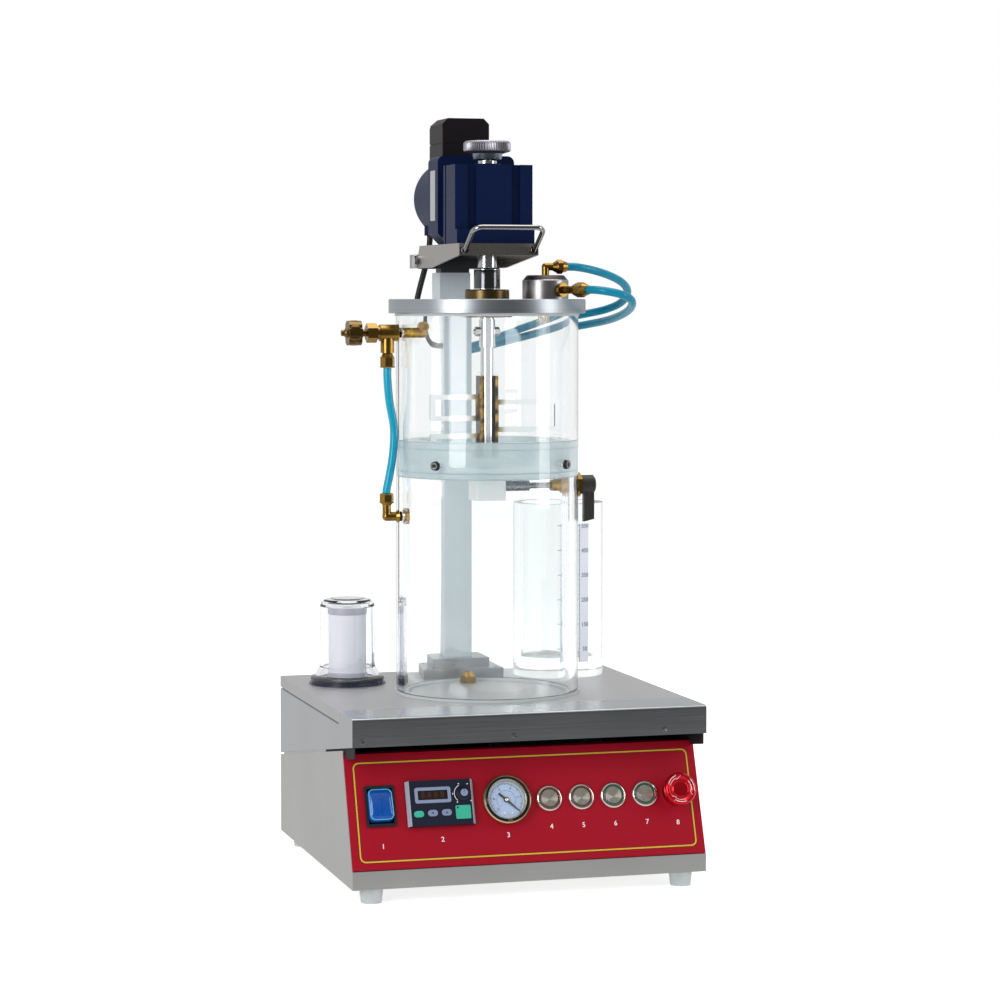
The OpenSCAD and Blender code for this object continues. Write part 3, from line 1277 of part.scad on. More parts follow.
// Drive rod with its hexagon tip and the lifting knob on its head
module drive_rod() color("#9ea1a6") place() translate([0, vessel_y, 0]) {
    knob_z = tray_top + case_h + 13.5;
    translate([0, 0, sleeve_low + 2]) cylinder(d = rod_d, h = knob_z + 9 - sleeve_low - 2);
    translate([0, 0, collar_top - hex_depth])
        cylinder(d = hex_af / cos(30), h = sleeve_low + 3 - collar_top + hex_depth, $fn = 6);
    translate([0, 0, knob_z - 8]) cylinder(d1 = 28, d2 = 32, h = 8.5);
    translate([0, 0, knob_z]) cylinder(d = knob_d, h = 9);
    translate([0, 0, knob_z + 9]) cylinder(d1 = knob_d, d2 = knob_d - 3, h = 1.5);
}

// Clear measuring cylinder with a thick bottom
module measuring_cylinder() color("#e8eef0", 0.4) place() translate([cyl_x, cyl_y, deck_z + 0.2]) difference() {
    cylinder(d = cyl_d, h = cyl_h);
    translate([0, 0, cyl_floor]) cylinder(d = cyl_bore, h = cyl_h);
}

cabinet_base();
front_panel();
top_cover();
deck_plate();
feet();
screws();
power_inlet();
vacuum_pump();
valve_bank();
control_box();
rocker_bezel();
rocker_boot();
governor_case();
governor_knob();
governor_key(0, "#35b9a8");  // governor_key_1
governor_key(1, "#97a5c4");  // governor_key_2
governor_key(2, "#97a5c4");  // governor_key_3
governor_key(3, "#35b9a8");  // governor_key_4
gauge_case();
gauge_pointer();
switch_bodies();
button_cap(0);  // button_cap_1
button_cap(1);  // button_cap_2
button_cap(2);  // button_cap_3
button_cap(3);  // button_cap_4
estop_plunger();
estop_head();
filter_base();
filter_cartridge();
filter_bowl();
seal_rings();
vessel_tube();
bowl_floor();
pipe_fittings();
pour_block();
valve_stem();
valve_lever();
needle_valve();
handwheel();
left_hose();
lid_plate();
shaft_seal();
manifold();
upper_hose();
lower_hose();
paddle_shaft();
paddle_frames();
column();
column_foot();
hinge_bracket();
hinge_pin();
head_tray();
wire_handle();
gear_case();
gear_motor();
terminal_box();
motor_cable();
drive_sleeve();
drive_rod();
measuring_cylinder();
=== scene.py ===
import math
import bmesh
import bpy
import numpy as np
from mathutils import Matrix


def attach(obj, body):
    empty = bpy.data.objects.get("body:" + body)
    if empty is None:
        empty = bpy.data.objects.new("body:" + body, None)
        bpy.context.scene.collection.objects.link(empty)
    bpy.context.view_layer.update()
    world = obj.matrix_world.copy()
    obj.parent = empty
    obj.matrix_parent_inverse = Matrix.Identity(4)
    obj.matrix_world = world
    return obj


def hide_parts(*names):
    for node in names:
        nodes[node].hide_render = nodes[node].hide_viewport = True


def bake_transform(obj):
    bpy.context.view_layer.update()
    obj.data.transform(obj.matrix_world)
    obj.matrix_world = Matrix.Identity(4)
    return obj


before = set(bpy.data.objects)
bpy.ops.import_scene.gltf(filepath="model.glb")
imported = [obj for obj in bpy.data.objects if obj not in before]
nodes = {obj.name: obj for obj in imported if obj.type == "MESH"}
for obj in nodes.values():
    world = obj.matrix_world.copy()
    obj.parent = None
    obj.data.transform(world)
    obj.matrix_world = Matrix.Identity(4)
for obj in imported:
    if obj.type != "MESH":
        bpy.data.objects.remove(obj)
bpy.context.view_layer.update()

# ----------------------------------------
# Camera. It stands a little left of the machine's middle, at the height of the vessel's lid,
# and looks slightly down through a long lens, as product photographs are taken.
camera = bpy.data.objects.new("camera", bpy.data.cameras.new("camera"))
bpy.context.scene.collection.objects.link(camera)
camera.location = (-0.78214, -2.80904, 0.56008)
camera.rotation_euler = (math.radians(90 - 2.704), 0, -0.2774)
camera.data.lens = 105.935
camera.data.shift_y = -0.06
bpy.context.scene.camera = camera


# ----------------------------------------
# Blue hoses and the motor's cable. The hoses are 8 mm polyurethane tube, extruded in a clear
# blue, and spring round the vessel from nut to nut. The cable is a 6 mm black rubber lead.
def linear(hex_colour):
    """sRGB hex to linear light: v/12.92 below 0.04045, else ((v+0.055)/1.055)^2.4."""
    v = np.array([int(hex_colour[i:i + 2], 16) for i in (1, 3, 5)]) / 255
    return (*np.where(v <= 0.04045, v / 12.92, ((v + 0.055) / 1.055) ** 2.4), 1)


def add(tree, kind, feeds=None, **settings):
    """Adds one node, sets its properties or sockets by name, and then gives each socket named
    in `feeds` a value, an output, or a node, which stands for its first output in use."""
    n = tree.nodes.new("ShaderNode" + kind)
    for key, value in settings.items():
        if hasattr(n, key):
            setattr(n, key, value)
        else:
            n.inputs[key.replace("_", " ")].default_value = value
    for socket, feed in (feeds or {}).items():
        if isinstance(feed, bpy.types.Node):
            feed = next(output for output in feed.outputs if output.enabled)
        if isinstance(feed, bpy.types.NodeSocket):
            tree.links.new(feed, n.inputs[socket])
        else:
            n.inputs[socket].default_value = feed
    return n


def material(name):
    """A fresh material with an empty node tree; returns it and its tree."""
    m = bpy.data.materials.new(name)
    m.use_nodes = True
    m.node_tree.nodes.clear()
    return m, m.node_tree


def dress(finish, *names):
    """Gives CAD nodes their finish."""
    for name in names:
        nodes[name].data.materials.clear()
        nodes[name].data.materials.append(finish)


def grained(name, light, dark, roughness, cell, depth, stretch=(1, 1, 1), shift=0.06, **shader):
    """A finish whose colour runs between dark and light with a noise of `cell` mm, stretched
    along an axis by dividing its scale there; the same noise moves the roughness by `shift`
    and lifts the surface by `depth` mm."""
    m, t = material(name)
    place = add(t, "TexCoord")
    scale = tuple(1000 / cell / s for s in stretch)
    run = add(t, "Mapping", {"Vector": place.outputs["Object"]}, Scale=scale)
    noise = add(t, "TexNoise", {"Vector": run},
                Scale=1.0, Detail=3.0, Roughness=0.6)
    broad = add(t, "TexNoise", {"Vector": place.outputs["Object"]}, Scale=9.0, Detail=2.0)
    both = add(t, "Math", {0: noise, 1: broad, 2: 0.25}, operation="MULTIPLY_ADD")
    tint = add(t, "Mix", {"Factor": both, "A": linear(dark), "B": linear(light)}, data_type="RGBA")
    rough = add(t, "MapRange", {"Value": noise},
                To_Min=max(roughness - shift, 0.02), To_Max=roughness + shift)
    rise = add(t, "Bump", {"Height": noise}, Strength=1.0, Distance=depth / 1000)
    skin = add(t, "BsdfPrincipled", {"Base Color": tint, "Roughness": rough, "Normal": rise},
               **shader)
    add(t, "OutputMaterial", {"Surface": skin})
    return m


def smooth_route(points, steps):
    """Catmull-Rom curve: between b and c, with a and d their neighbours, each point is half of
    2b + (c-a)t + (2a-5b+4c-d)t^2 + (3b-a-3c+d)t^3; `steps` points to a stretch."""
    p = np.array(points, float)
    a, b = np.vstack([p[:1], p[:-2]]), p[:-1]
    c, d = p[1:], np.vstack([p[2:], p[-1:]])
    t = (np.arange(steps) / steps)[None, :, None]
    a, b, c, d = (v[:, None] for v in (a, b, c, d))
    run = (2 * b + (c - a) * t + (2 * a - 5 * b + 4 * c - d) * t ** 2
           + (3 * b - a - 3 * c + d) * t ** 3) / 2
    return np.vstack([run.reshape(-1, 3), p[-1:]])


def carried(points, section, reference, closed=False):
    """A closed section (offsets across and up) carried along points. At each point the tangent
    is the difference of its neighbours, `across` the unit reference made square to it, and `up`
    tangent x across. An open run is closed by its two end centres."""
    p = np.array(points, float)
    t = np.roll(p, -1, 0) - np.roll(p, 1, 0) if closed else np.gradient(p, axis=0)
    t /= np.linalg.norm(t, axis=1)[:, None]
    ref = np.array(reference, float)
    across = ref - (t @ ref)[:, None] * t
    across /= np.linalg.norm(across, axis=1)[:, None]
    up = np.cross(t, across)
    s = np.array(section, float)
    grid = p[:, None] + across[:, None] * s[None, :, :1] + up[:, None] * s[None, :, 1:]
    if closed:
        return np.concatenate([grid, grid[:1]])
    ends = [np.broadcast_to(q, (1, len(s), 3)) for q in (p[0], p[-1])]
    return np.concatenate([ends[0], grid, ends[1]])


def ring(radius, n=24):
    """A circle's offsets, anticlockwise, its first point repeated at the end."""
    a = np.linspace(0, 2 * np.pi, n + 1)
    return np.stack([radius * np.cos(a), radius * np.sin(a)], -1)


def to_frame(points):
    """Machine mm, with y from the cabinet's front, to the frame's metres: the frame's origin
    lies 173.663 mm behind that front."""
    return (np.asarray(points, float) - (0, 173.663, 0)) / 1000


def shell(name, body, finish, grids, crease=35, flats=()):
    """A piece from grids of points in machine mm, their rows going up its outside and their
    columns anticlockwise; every four neighbours make a face, and points that meet at a seam or
    a pole are merged. `flats` are (points, faces) pairs, such as figures."""
    points, faces, start = [], [], 0
    for g in grids:
        r, c = g.shape[:2]
        i = np.arange(r * c).reshape(r, c) + start
        quads = np.stack([i[:-1, :-1], i[:-1, 1:], i[1:, 1:], i[1:, :-1]], -1)
        faces += quads.reshape(-1, 4).tolist()
        points.append(g.reshape(-1, 3))
        start += r * c
    for p, f in flats:
        faces += [[start + v for v in face] for face in f]
        points.append(p)
        start += len(p)
    mesh = bpy.data.meshes.new(name)
    mesh.from_pydata(to_frame(np.concatenate(points)).tolist(), [], faces)
    merge = bmesh.new()
    merge.from_mesh(mesh)
    bmesh.ops.remove_doubles(merge, verts=merge.verts, dist=2e-6)
    merge.to_mesh(mesh)
    merge.free()
    mesh.shade_smooth()
    mesh.set_sharp_from_angle(angle=math.radians(crease))
    piece = bpy.data.objects.new(name, mesh)
    bpy.context.scene.collection.objects.link(piece)
    mesh.materials.append(finish)
    if body:
        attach(piece, body)
    return piece


# Clear blue polyurethane: deep colour, wet gloss, faint flow marks along the wall. It is one tube
# in
# two copies: the left hose is lighter, with painted light where the key lamp falls on it, and the
# hoses on the right are darker, with painted shade.
lit_painted_hose = grained("polyurethane_tube_painted_lit", "#0cb2d2", "#037e9f", 0.16, 1.3, 0.03,
                     stretch=(1, 1, 3), IOR=1.5)
shaded_painted_hose = grained("polyurethane_tube_painted_shaded", "#0498b8", "#016a88", 0.24, 1.6, 0.03,
                    IOR=1.45, Specular_IOR_Level=0.35)
vessel_y = 158
left_run = [[-90 - out, vessel_y, 371 + up] for out, up in (
    (11, 125), (11, 113), (9, 91), (5, 69), (4.5, 53), (6, 37), (9, 19), (12, 5), (12, 0))]
upper_run = [
    [82.2, 158, 594], [90, 158, 593.9], [98.6, 159.7, 592.9], [108, 163.1, 591.4],
    [118, 167.7, 589.3], [128.4, 173.5, 586.7], [138.5, 180.3, 583.6], [147.9, 188.1, 580],
    [155.7, 196.8, 575.8], [161.3, 206.2, 571.2], [164.3, 216.1, 566.4], [164.7, 226.2, 561.6],
    [162.3, 236, 557.2], [157, 245.3, 553.4], [148.6, 253.9, 550.1], [137, 261.7, 547.3],
    [122.7, 268.7, 544.3], [106.3, 274.9, 540.5], [88.9, 280.2, 535.7], [71.4, 284.4, 530.3],
    [54.9, 287.4, 524.7], [40.3, 289.3, 519.6], [28, 290, 515.8], [18, 290, 513.7], [9, 290, 513.5]]
lower_run = [
    [86.65, 100.9, 571], [88.55, 96.8, 571], [91.3, 91.2, 570.8], [96.6, 85.2, 570],
    [103.9, 81.6, 568.7], [112.2, 81.2, 566.9], [120, 84.2, 564.5], [126.4, 90.2, 561.6],
    [130.8, 98.8, 558.2], [133.9, 110.5, 554.8], [136.2, 125, 551.4], [137.6, 142, 548.3],
    [138, 160, 545.4], [137, 182, 542.2], [133.6, 205, 539.3], [127, 227, 536.6],
    [116.4, 248.5, 533.4], [102.4, 267.5, 529.4], [85, 283, 524.6], [65, 294, 519.6],
    [45, 300.3, 514.9], [28, 302, 511.2], [18, 302, 509.6], [9, 302, 509.5]]
for name, run, reference, finish in (("left_tube", left_run, (0, 1, 0), lit_painted_hose),
                                     ("upper_tube", upper_run, (0, 0, 1), shaded_painted_hose),
                                     ("lower_tube", lower_run, (0, 0, 1), shaded_painted_hose)):
    line = smooth_route(run, 4)
    tube = shell(name, "machine", finish, [carried(line, ring(4), reference)], 60)
    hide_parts(name.replace("tube", "hose"))

# Rubber sheath: dull black with the shine of a handled cable.
rubber = grained("black_rubber_sheath", "#161618", "#0b0b0d", 0.5, 1.2, 0.03)
cable_run = [[-24, 290, 627], [-24, 290, 621], [-25, 293.5, 606], [-28, 298, 590],
             [-32, 300.5, 573], [-36, 300, 556], [-38.5, 298, 541], [-37.5, 296, 528],
             [-33, 295, 519.5], [-25, 295, 514.8], [-16, 295, 514], [-9, 295, 514]]
line = smooth_route(cable_run, 4)
cable = shell("motor_lead", None, rubber, [carried(line, ring(3), (1, -1, 0))], 60)
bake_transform(cable)
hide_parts("motor_cable")

# ----------------------------------------
# Cabinet. Folded 1.2 mm stainless sheet with a brushed (No. 4) face; the grain runs level.
# Real grit lines are 0.05 mm apart, too fine to show, so they are drawn about 0.8 mm apart.
brushed_case = grained("brushed_stainless_case", "#cbcbca", "#a5a5a3", 0.34, 0.8, 0.004,
                       stretch=(60, 60, 1), Metallic=1.0)
dress(brushed_case, "cabinet_base")

# ----------------------------------------
# Control panel. Powder-coated steel, wine red with a fine orange peel, screen-printed with a
# gold border between two black hairlines, and with plain white figures under the controls.
panel_coat = grained("red_powder_coat", "#ad0a26", "#96051d", 0.42, 1.4, 0.012,
                     IOR=1.4, Specular_IOR_Level=0.3)
dress(panel_coat, "front_panel")
tilt = math.radians(20.4202)
panel_foot = 31.7
# The controls stand in one row, this far up the slope, at these places across it.
row = 60.4
rocker_x, governor_x, gauge_x, stop_x = -142.27, -84.668, -20.473, 148.863
button_xs = (22.555, 54.375, 86.195, 118.015)


def stand(origin, across=(1, 0, 0), up=(0, 1, 0)):
    """The map from a piece's own axes to the machine: origin + x across + y up + z out, where
    out = across x up."""
    o, a, u = (np.array(v, float) for v in (origin, across, up))
    w = np.cross(a, u)
    return lambda p: o + p[..., :1] * a + p[..., 1:2] * u + p[..., 2:] * w


def on_panel(x, s, out=0, lean=0):
    """A place on the sloped panel: s mm up the slope, `out` mm off it, leaning by `lean`."""
    u = np.array([0, math.sin(tilt), math.cos(tilt)])
    w = np.array([0, -math.cos(tilt), math.sin(tilt)])
    return stand(np.array([x, 0, panel_foot]) + s * u + out * w, (1, 0, 0),
                 u * math.cos(lean) + w * math.sin(lean))


def outline(w, h, r, n=6):
    """A rounded rectangle, anticlockwise: quarter circles of radius r about its four corners,
    n steps each, its first point repeated at the end."""
    r = min(r, w / 2, h / 2)
    a = np.linspace(0, np.pi / 2, n + 1)
    corners = [(1, 1, 0), (-1, 1, 1), (-1, -1, 2), (1, -1, 3)]
    p = np.concatenate([np.stack([sx * (w / 2 - r) + r * np.cos(a + q * np.pi / 2),
                                  sy * (h / 2 - r) + r * np.sin(a + q * np.pi / 2)], -1)
                        for sx, sy, q in corners])
    return np.concatenate([p, p[:1]])


def stroke(points, width):
    """A line of even width in its own plane: the points moved half the width to either side,
    square to the difference of their neighbours. Closed if its last point is its first."""
    p = np.array(points, float)
    if np.allclose(p[0], p[-1]):
        t = np.roll(p[:-1], -1, 0) - np.roll(p[:-1], 1, 0)
        t = np.vstack([t, t[:1]])
    else:
        t = np.gradient(p, axis=0)
    t /= np.linalg.norm(t, axis=1)[:, None]
    side = np.stack([-t[:, 1], t[:, 0]], -1) * width / 2
    return np.stack([p - side, p + side])


def lifted(flat, height):
    """Flat points given a height, a number or a function of their distance from the centre."""
    r = np.hypot(flat[..., 0], flat[..., 1])
    z = height(r) if callable(height) else np.full_like(r, height)
    return np.concatenate([flat, z[..., None]], -1)


def loft(rows, n=6):
    """Rounded rectangles one above the other: width, height, corner radius and level of each."""
    return np.stack([lifted(outline(w, h, r, n), z) for w, h, r, z in rows])


def polar(r, a):
    """Flat points at radius r and angle a."""
    return np.stack(np.broadcast_arrays(r * np.cos(a), r * np.sin(a)), -1)


def figure(text, size, place, x=0, y=0, height=0.0, turn=0.0):
    """Blender's own letter shapes filled flat, `size` mm high, centred at x, y of the place."""
    curve = bpy.data.curves.new("figure", "FONT")
    curve.body, curve.size = text, size / 0.7
    curve.align_x, curve.align_y, curve.resolution_u = "CENTER", "CENTER", 3
    curve.offset = 0.02 * size
    drawn = bpy.data.objects.new("figure", curve)
    mesh = bpy.data.meshes.new_from_object(drawn)
    flat = np.empty(len(mesh.vertices) * 3)
    mesh.vertices.foreach_get("co", flat)
    flat = flat.reshape(-1, 3)[:, :2]
    faces = [list(f.vertices) for f in mesh.polygons]
    if mesh.polygons and mesh.polygons[0].normal.z < 0:
        faces = [f[::-1] for f in faces]
    bpy.data.objects.remove(drawn)
    bpy.data.curves.remove(curve)
    bpy.data.meshes.remove(mesh)
    c, s = math.cos(turn), math.sin(turn)
    flat = flat @ np.array([[c, s], [-s, c]]) + (x, y)
    return place(lifted(flat, height)), faces


gold_ink = grained("gold_screen_ink", "#f0bd3e", "#d69a22", 0.4, 2.0, 0.004)
black_ink = grained("black_screen_ink", "#2c1a1c", "#1c1012", 0.4, 2.0, 0.004)
white_ink = grained("white_screen_ink", "#fbf4f3", "#ece0e0", 0.5, 1.5, 0.004)
border, wide, tall, corner = on_panel(0, 55.3), 329.6, 93.4, 5
shell("panel_hairlines", "machine", black_ink, [
    border(lifted(stroke(outline(wide + 2 * d, tall + 2 * d, corner + d), 0.7), 0.06))
    for d in (1, -1)])
shell("panel_border", "machine", gold_ink,
      [border(lifted(stroke(outline(wide, tall, corner), 1.5), 0.1))])
below = zip((rocker_x, governor_x, gauge_x, *button_xs, stop_x), (38, 34, 33, 27, 27, 27, 27, 29))
shell("panel_figures", "machine", white_ink, [], flats=[
    figure(str(i), 4.6, on_panel(x, row - down), height=0.08)
    for i, (x, down) in enumerate(below, 1)])

# ----------------------------------------
# Top cover and deck. The cover is mirror-brushed stainless, folded over the panel's top edge;
# the deck plate behind it is bead-blasted, so it is pale and dull.
cover_finish = grained("fine_brushed_cover", "#b9bcbf", "#93979a", 0.24, 0.9, 0.003,
                       stretch=(80, 3, 1), Metallic=1.0)
deck_finish = grained("bead_blasted_deck", "#c9c8c9", "#b0aeaf", 0.45, 0.9, 0.01, Metallic=0.85)
dress(cover_finish, "top_cover")
dress(deck_finish, "deck_plate")

# Closed-cell foam tape, stuck under the cover's back skirt so that it doesn't rattle on the case.
# The same black also makes the painted shade sheets under the side skirts.
foam_and_gap_shade_black = grained("black_foam_tape_and_painted_gap_shade", "#242426", "#161617", 0.8, 1.0, 0.1)
tape = stand((0, 326.4, 94.6), (1, 0, 0), (0, 0, 1))
shell("cover_foam_tape", "machine", foam_and_gap_shade_black, [tape(loft(
    ((0, 0, 0.5, -1.4), (338, 5, 0.5, -1.4), (338, 5, 0.5, 1.4), (0, 0, 0.5, 1.4)), 2))])
# At the sides, sheets in the same black are painted shade: they darken the gap under the side
# skirts. They widen with the skirts towards the front; their faces close on a point within.
slant = np.array([(2, 137), (300, 90), (300, 106), (40, 149), (2, 149), (2, 137)], float)
within = np.array([60, 134])
shell("cover_side_painted_shade_sheets", "machine", foam_and_gap_shade_black, [np.stack([
    np.insert(within + (slant - within) * k, 0, x + w, axis=1)
    for w, k in ((-0.5, 0), (-0.5, 1), (0.5, 1), (0.5, 0))]) for x in (-170.8, 170.8)])

# ----------------------------------------
# Feet. Moulded clear silicone cones, frosted by the mould, each on a screw through its middle.
silicone = grained("frosted_clear_silicone", "#eef3f3", "#d5dcdc", 0.4, 1.5, 0.02, IOR=1.41,
                   Transmission_Weight=0.35, Subsurface_Weight=0.2, Subsurface_Scale=0.004)
dress(silicone, "feet")


def turned(profile, place, around=48):
    """A turned shape: each radius and height of the profile carried round the place's z axis."""
    r, h = np.array(profile, float).T
    a = np.linspace(0, 2 * np.pi, around + 1)
    return place(np.stack([r[:, None] * np.cos(a), r[:, None] * np.sin(a),
                           np.repeat(h[:, None], around + 1, 1)], -1))


# ----------------------------------------
# Screws. Cold-headed stainless steel, bright; the small case screws have a cross recess and
# the cap screws a hexagon socket. The shade in them is painted: dark crosses and hexagons in
# their heads, and a dark ring round each cap screw's head for the shade of its seat.
bright_steel = grained("bright_stainless", "#dadbdd", "#b9bbbe", 0.16, 1.2, 0.004, Metallic=1.0)
recess_shade_and_lamp_black = grained("painted_recess_shade_and_unlit_lamp", "#1b1b1d", "#0e0e10", 0.6, 1.0, 0.02)
dress(bright_steel, "screws")
cover_xs = (-163.8, -17.0, 131.9)
shell("cover_screw_heads", "machine", bright_steel, [
    turned([(2.6, 0), (2.6, 0.2), (2.3, 1.5), (1.4, 2.3), (0.001, 2.4), (0, 2.2)],
           stand((x, 0, 152.5), (1, 0, 0), (0, 0, 1)), 20) for x in cover_xs])
# Painted shade: flat dark crosses for the shade in the cross recesses.
shell("cover_screw_cross_shade", "machine", recess_shade_and_lamp_black, [
    stand((x, -2.42, 152.5), (1, 0, 0), (0, 0, 1))(lifted(stroke([(-dx, -dy), (dx, dy)], 0.7), 0))
    for x in cover_xs for dx, dy in ((1.2, 0.6), (-0.6, 1.2))])
bowl_angles = [math.radians(41.5 + 90 * k) for k in range(4)]
bowl_screws = [stand((94 * math.cos(a), vessel_y + 94 * math.sin(a), 401.6),
                     (-math.sin(a), math.cos(a), 0), (0, 0, 1)) for a in bowl_angles]
# Painted shade: dark rings round the cap screw heads and dark hexagons in their sockets.
shell("bowl_screw_seat_shade", "machine", recess_shade_and_lamp_black,
      [turned([(4.6, -3.6), (4.6, -2.9), (4.05, -2.6), (4.05, 0.05), (3.5, 0.3), (3.3, 0.1)], p, 32)
       for p in bowl_screws]
      + [turned([(1.9, 0.08), (1.9, 0.12), (0, 0.12)], p, 6) for p in bowl_screws])

# ----------------------------------------
# Rocker switch. A black glass-filled nylon bezel, snapped into the panel, round a rocker under
# a clear blue vinyl splash boot with a raised rim and moulded off and on marks.
black_nylon = grained("black_glass_filled_nylon", "#2a2a2f", "#1a1a1e", 0.45, 0.8, 0.02,
                      Specular_IOR_Level=0.35)
dress(black_nylon, "rocker_bezel")
rocker_seat = on_panel(rocker_x, row, -6, math.radians(-6))


def crowned(p, drop):
    """Heights on the boot: a 58 mm cylinder's crown over y, less the drop."""
    return np.concatenate([p, (-44 + np.sqrt(58 ** 2 - p[..., 1:2] ** 2) - drop)], -1)


boot_vinyl = grained("clear_blue_vinyl_boot", "#0a57b4", "#063c86", 0.14, 3.0, 0.01, IOR=1.45,
                     Coat_Weight=0.3, Coat_Roughness=0.05)
boot = shell("rocker_splash_boot", "rocker", boot_vinyl, [rocker_seat(np.stack([
    crowned(outline(23.6 - 2 * i, 31 - 2 * i, max(5 - 0.6 * i, 0.1)), d)
    for i, d in ((0, 11.5), (0, 4.2), (0.25, 3.0), (0.8, 2.0), (1.7, 1.3), (2.6, 0.75), (3.4, 0.4),
                 (4.6, 0.15), (6, 0.05), (7, 0.02), (11.7, 0))]))], 50)
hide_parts("rocker_boot")
boot_rim = grained("pale_blue_vinyl_rim", "#58c7ee", "#2a9fd6", 0.15, 2.0, 0.01, Coat_Weight=0.8)
rim_line = crowned(outline(21.6, 29, 4.5), 1.55)[:-1]
shell("rocker_boot_rim", "rocker", boot_rim,
      [rocker_seat(carried(rim_line, ring(0.55, 8), (0, 0, 1), closed=True))], 80)
shell("rocker_marks", "rocker", grained("moulded_blue_mark", "#0a3a86", "#072c6b", 0.2, 2.0, 0.01),
      [rocker_seat(crowned(stroke(ring(2.1, 20) + (0, 5.6), 0.5), -0.04)),
       rocker_seat(crowned(stroke([(0, -9.4), (0, -7.4), (0, -5.4)], 0.6), -0.04))])

# ----------------------------------------
# Speed governor. A moulded navy ABS face with pale edge strips, a smoked display window in a
# pale frame, two round-ended green and grey keys, a square green key and a small turning knob.
navy_abs = grained("navy_moulded_abs", "#20243a", "#141828", 0.38, 0.9, 0.015,
                   Specular_IOR_Level=0.35)
pale_abs = grained("pale_blue_grey_abs", "#93a2bf", "#7888a8", 0.35, 0.9, 0.01)
green_key = grained("jade_silicone_key", "#3fc2a4", "#2aa68a", 0.4, 1.2, 0.015)
grey_key = grained("grey_blue_silicone_key", "#8797b8", "#74839f", 0.4, 1.2, 0.015)
smoked = grained("smoked_display_window", "#2d1c17", "#1c1110", 0.08, 3.0, 0.002, Coat_Weight=0.6)
dress(navy_abs, "governor_case")
dress(green_key, "governor_key_1", "governor_key_4")
dress(grey_key, "governor_key_2", "governor_key_3")
dress(pale_abs, "governor_knob")
face = 6.06
governor = on_panel(governor_x, row)
window = on_panel(governor_x - 7.5, row + 7.4)
shell("governor_window_frame", "machine", pale_abs, [window(loft((
    (35, 15, 2.2, 6), (35, 15, 2.2, 6.3), (34.4, 14.4, 2, 6.6), (29.4, 9.4, 0.9, 6.6),
    (28.8, 8.8, 0.6, 6.3), (28.8, 8.8, 0.6, 4.8))))])
shell("governor_display", "machine", smoked, [window(loft((
    (28.7, 8.7, 0.3, 4.8), (28.7, 8.7, 0.3, 5.2), (0, 0, 0.3, 5.2))))])
unlit = grained("unlit_display_figures", "#4a332a", "#3b2821", 0.2, 2.0, 0.002)
shell("governor_display_figures", "machine", unlit, [], flats=[
    figure("8", 5.6, window, x, 0, 5.25) for x in (-9.3, -3.1, 3.1, 9.3)])
pale_strip = grained("pale_grey_edge_strip", "#b4b8c4", "#9499a8", 0.3, 1.0, 0.01)
strip = np.array([[[x, y, z] for y in (-21.3, 21.3)]
                  for x, z in ((32.8, 1.6), (30.3, face), (29.7, face))])
shell("governor_edge_strips", "machine", pale_strip,
      [governor(strip), governor((strip * (-1, 1, 1))[:, ::-1])])
knob = on_panel(governor_x + 22, row + 7.6)
shell("governor_knob_skirt", "speed_knob", navy_abs, [turned(
    [(0, 6.05), (6.6, 6.05), (6.6, 6.9), (6.1, 7.4), (4.5, 9.0), (4.1, 10.3), (3.2, 10.4)], knob)])
marks = [stroke(polar(8.6, np.radians(np.linspace(115, 228, 20))), 0.6)]
marks += [stroke(polar(np.array([9.6, 10.7]), a), 1.1)
          for a in np.radians((62, 112, 180, 232, -45))]
shell("governor_knob_marks", "machine", white_ink, [knob(lifted(g, face)) for g in marks])
upward = np.array([[[-1.3, -0.7], [1.3, -0.7]], [[0, 0.9], [0, 0.9]]])
for number, x, y, arrow in ((2, -9, -9.8, -upward[::-1, ::-1]), (3, 4.5, -9.7, upward)):
    key = on_panel(governor_x + x, row + y)
    shell(f"governor_arrow_{number}", f"key_{number}", black_ink, [key(lifted(arrow, 6.86))])
shell("governor_key_lamp", "key_4", recess_shade_and_lamp_black,
      [turned([(0.9, 6.8), (0.8, 7.1), (0, 7.15)], on_panel(governor_x + 15.4, row - 5.6), 16)])

# ----------------------------------------
# Vacuum gauge. Brass case with a polished, lacquered bezel turned on a lathe, a black retaining
# ring held by bright tabs, a printed aluminium dial, a black pointer on a brass hub, and glass.
gauge_brass = grained("polished_gilt_bezel", "#efe2c2", "#d2bb8d", 0.14, 1.5, 0.003, Metallic=1.0)
dress(gauge_brass, "gauge_case")
black_enamel = grained("black_stove_enamel", "#151516", "#0a0a0b", 0.3, 1.5, 0.004)
dress(black_enamel, "gauge_pointer")
gauge = on_panel(gauge_x, row)
shell("gauge_bezel", "machine", gauge_brass, [turned(
    [(23.5, 0), (23.6, 5.6), (23.4, 7.0), (22.9, 8.1), (22.2, 8.7), (21.6, 8.75), (21.3, 8.3)],
    gauge, 72)])
shell("gauge_retaining_ring", "machine", black_enamel, [turned(
    [(21.5, 8.2), (21.4, 8.4), (19.5, 8.4), (19.3, 8.2), (19.3, 7.2)], gauge, 72)])
shell("gauge_inner_ring", "machine", gauge_brass, [turned(
    [(19.4, 7.9), (18.9, 8.0), (18.1, 6.4), (17.6, 4.9), (17.5, 3.2)], gauge, 72)])
shell("gauge_tabs", "machine", gauge_brass, [gauge(np.stack([
    lifted(polar(r, a + np.array([-0.11, 0.11])), z)
    for r, z in ((21.6, 8.2), (21.5, 8.7), (19.3, 8.7), (19.2, 7.6))]))
    for a in np.radians((183, 272))])
dial_face = grained("printed_pale_blue_dial", "#c3d3ec", "#aabfe0", 0.5, 4.0, 0.003)
dial_blue = grained("blue_dial_ink", "#5f86bd", "#4a70a8", 0.5, 2.0, 0.002)
shell("gauge_dial", "machine", dial_face,
      [turned([(19.4, 2.42), (19.4, 2.6), (0.9, 2.62)], gauge, 64)])
printed = 2.68


def around_dial(n):
    """n even angles over the dial's 270 degrees, from its low right end round to the top right."""
    return np.radians(-43 + np.linspace(0, 270, n))


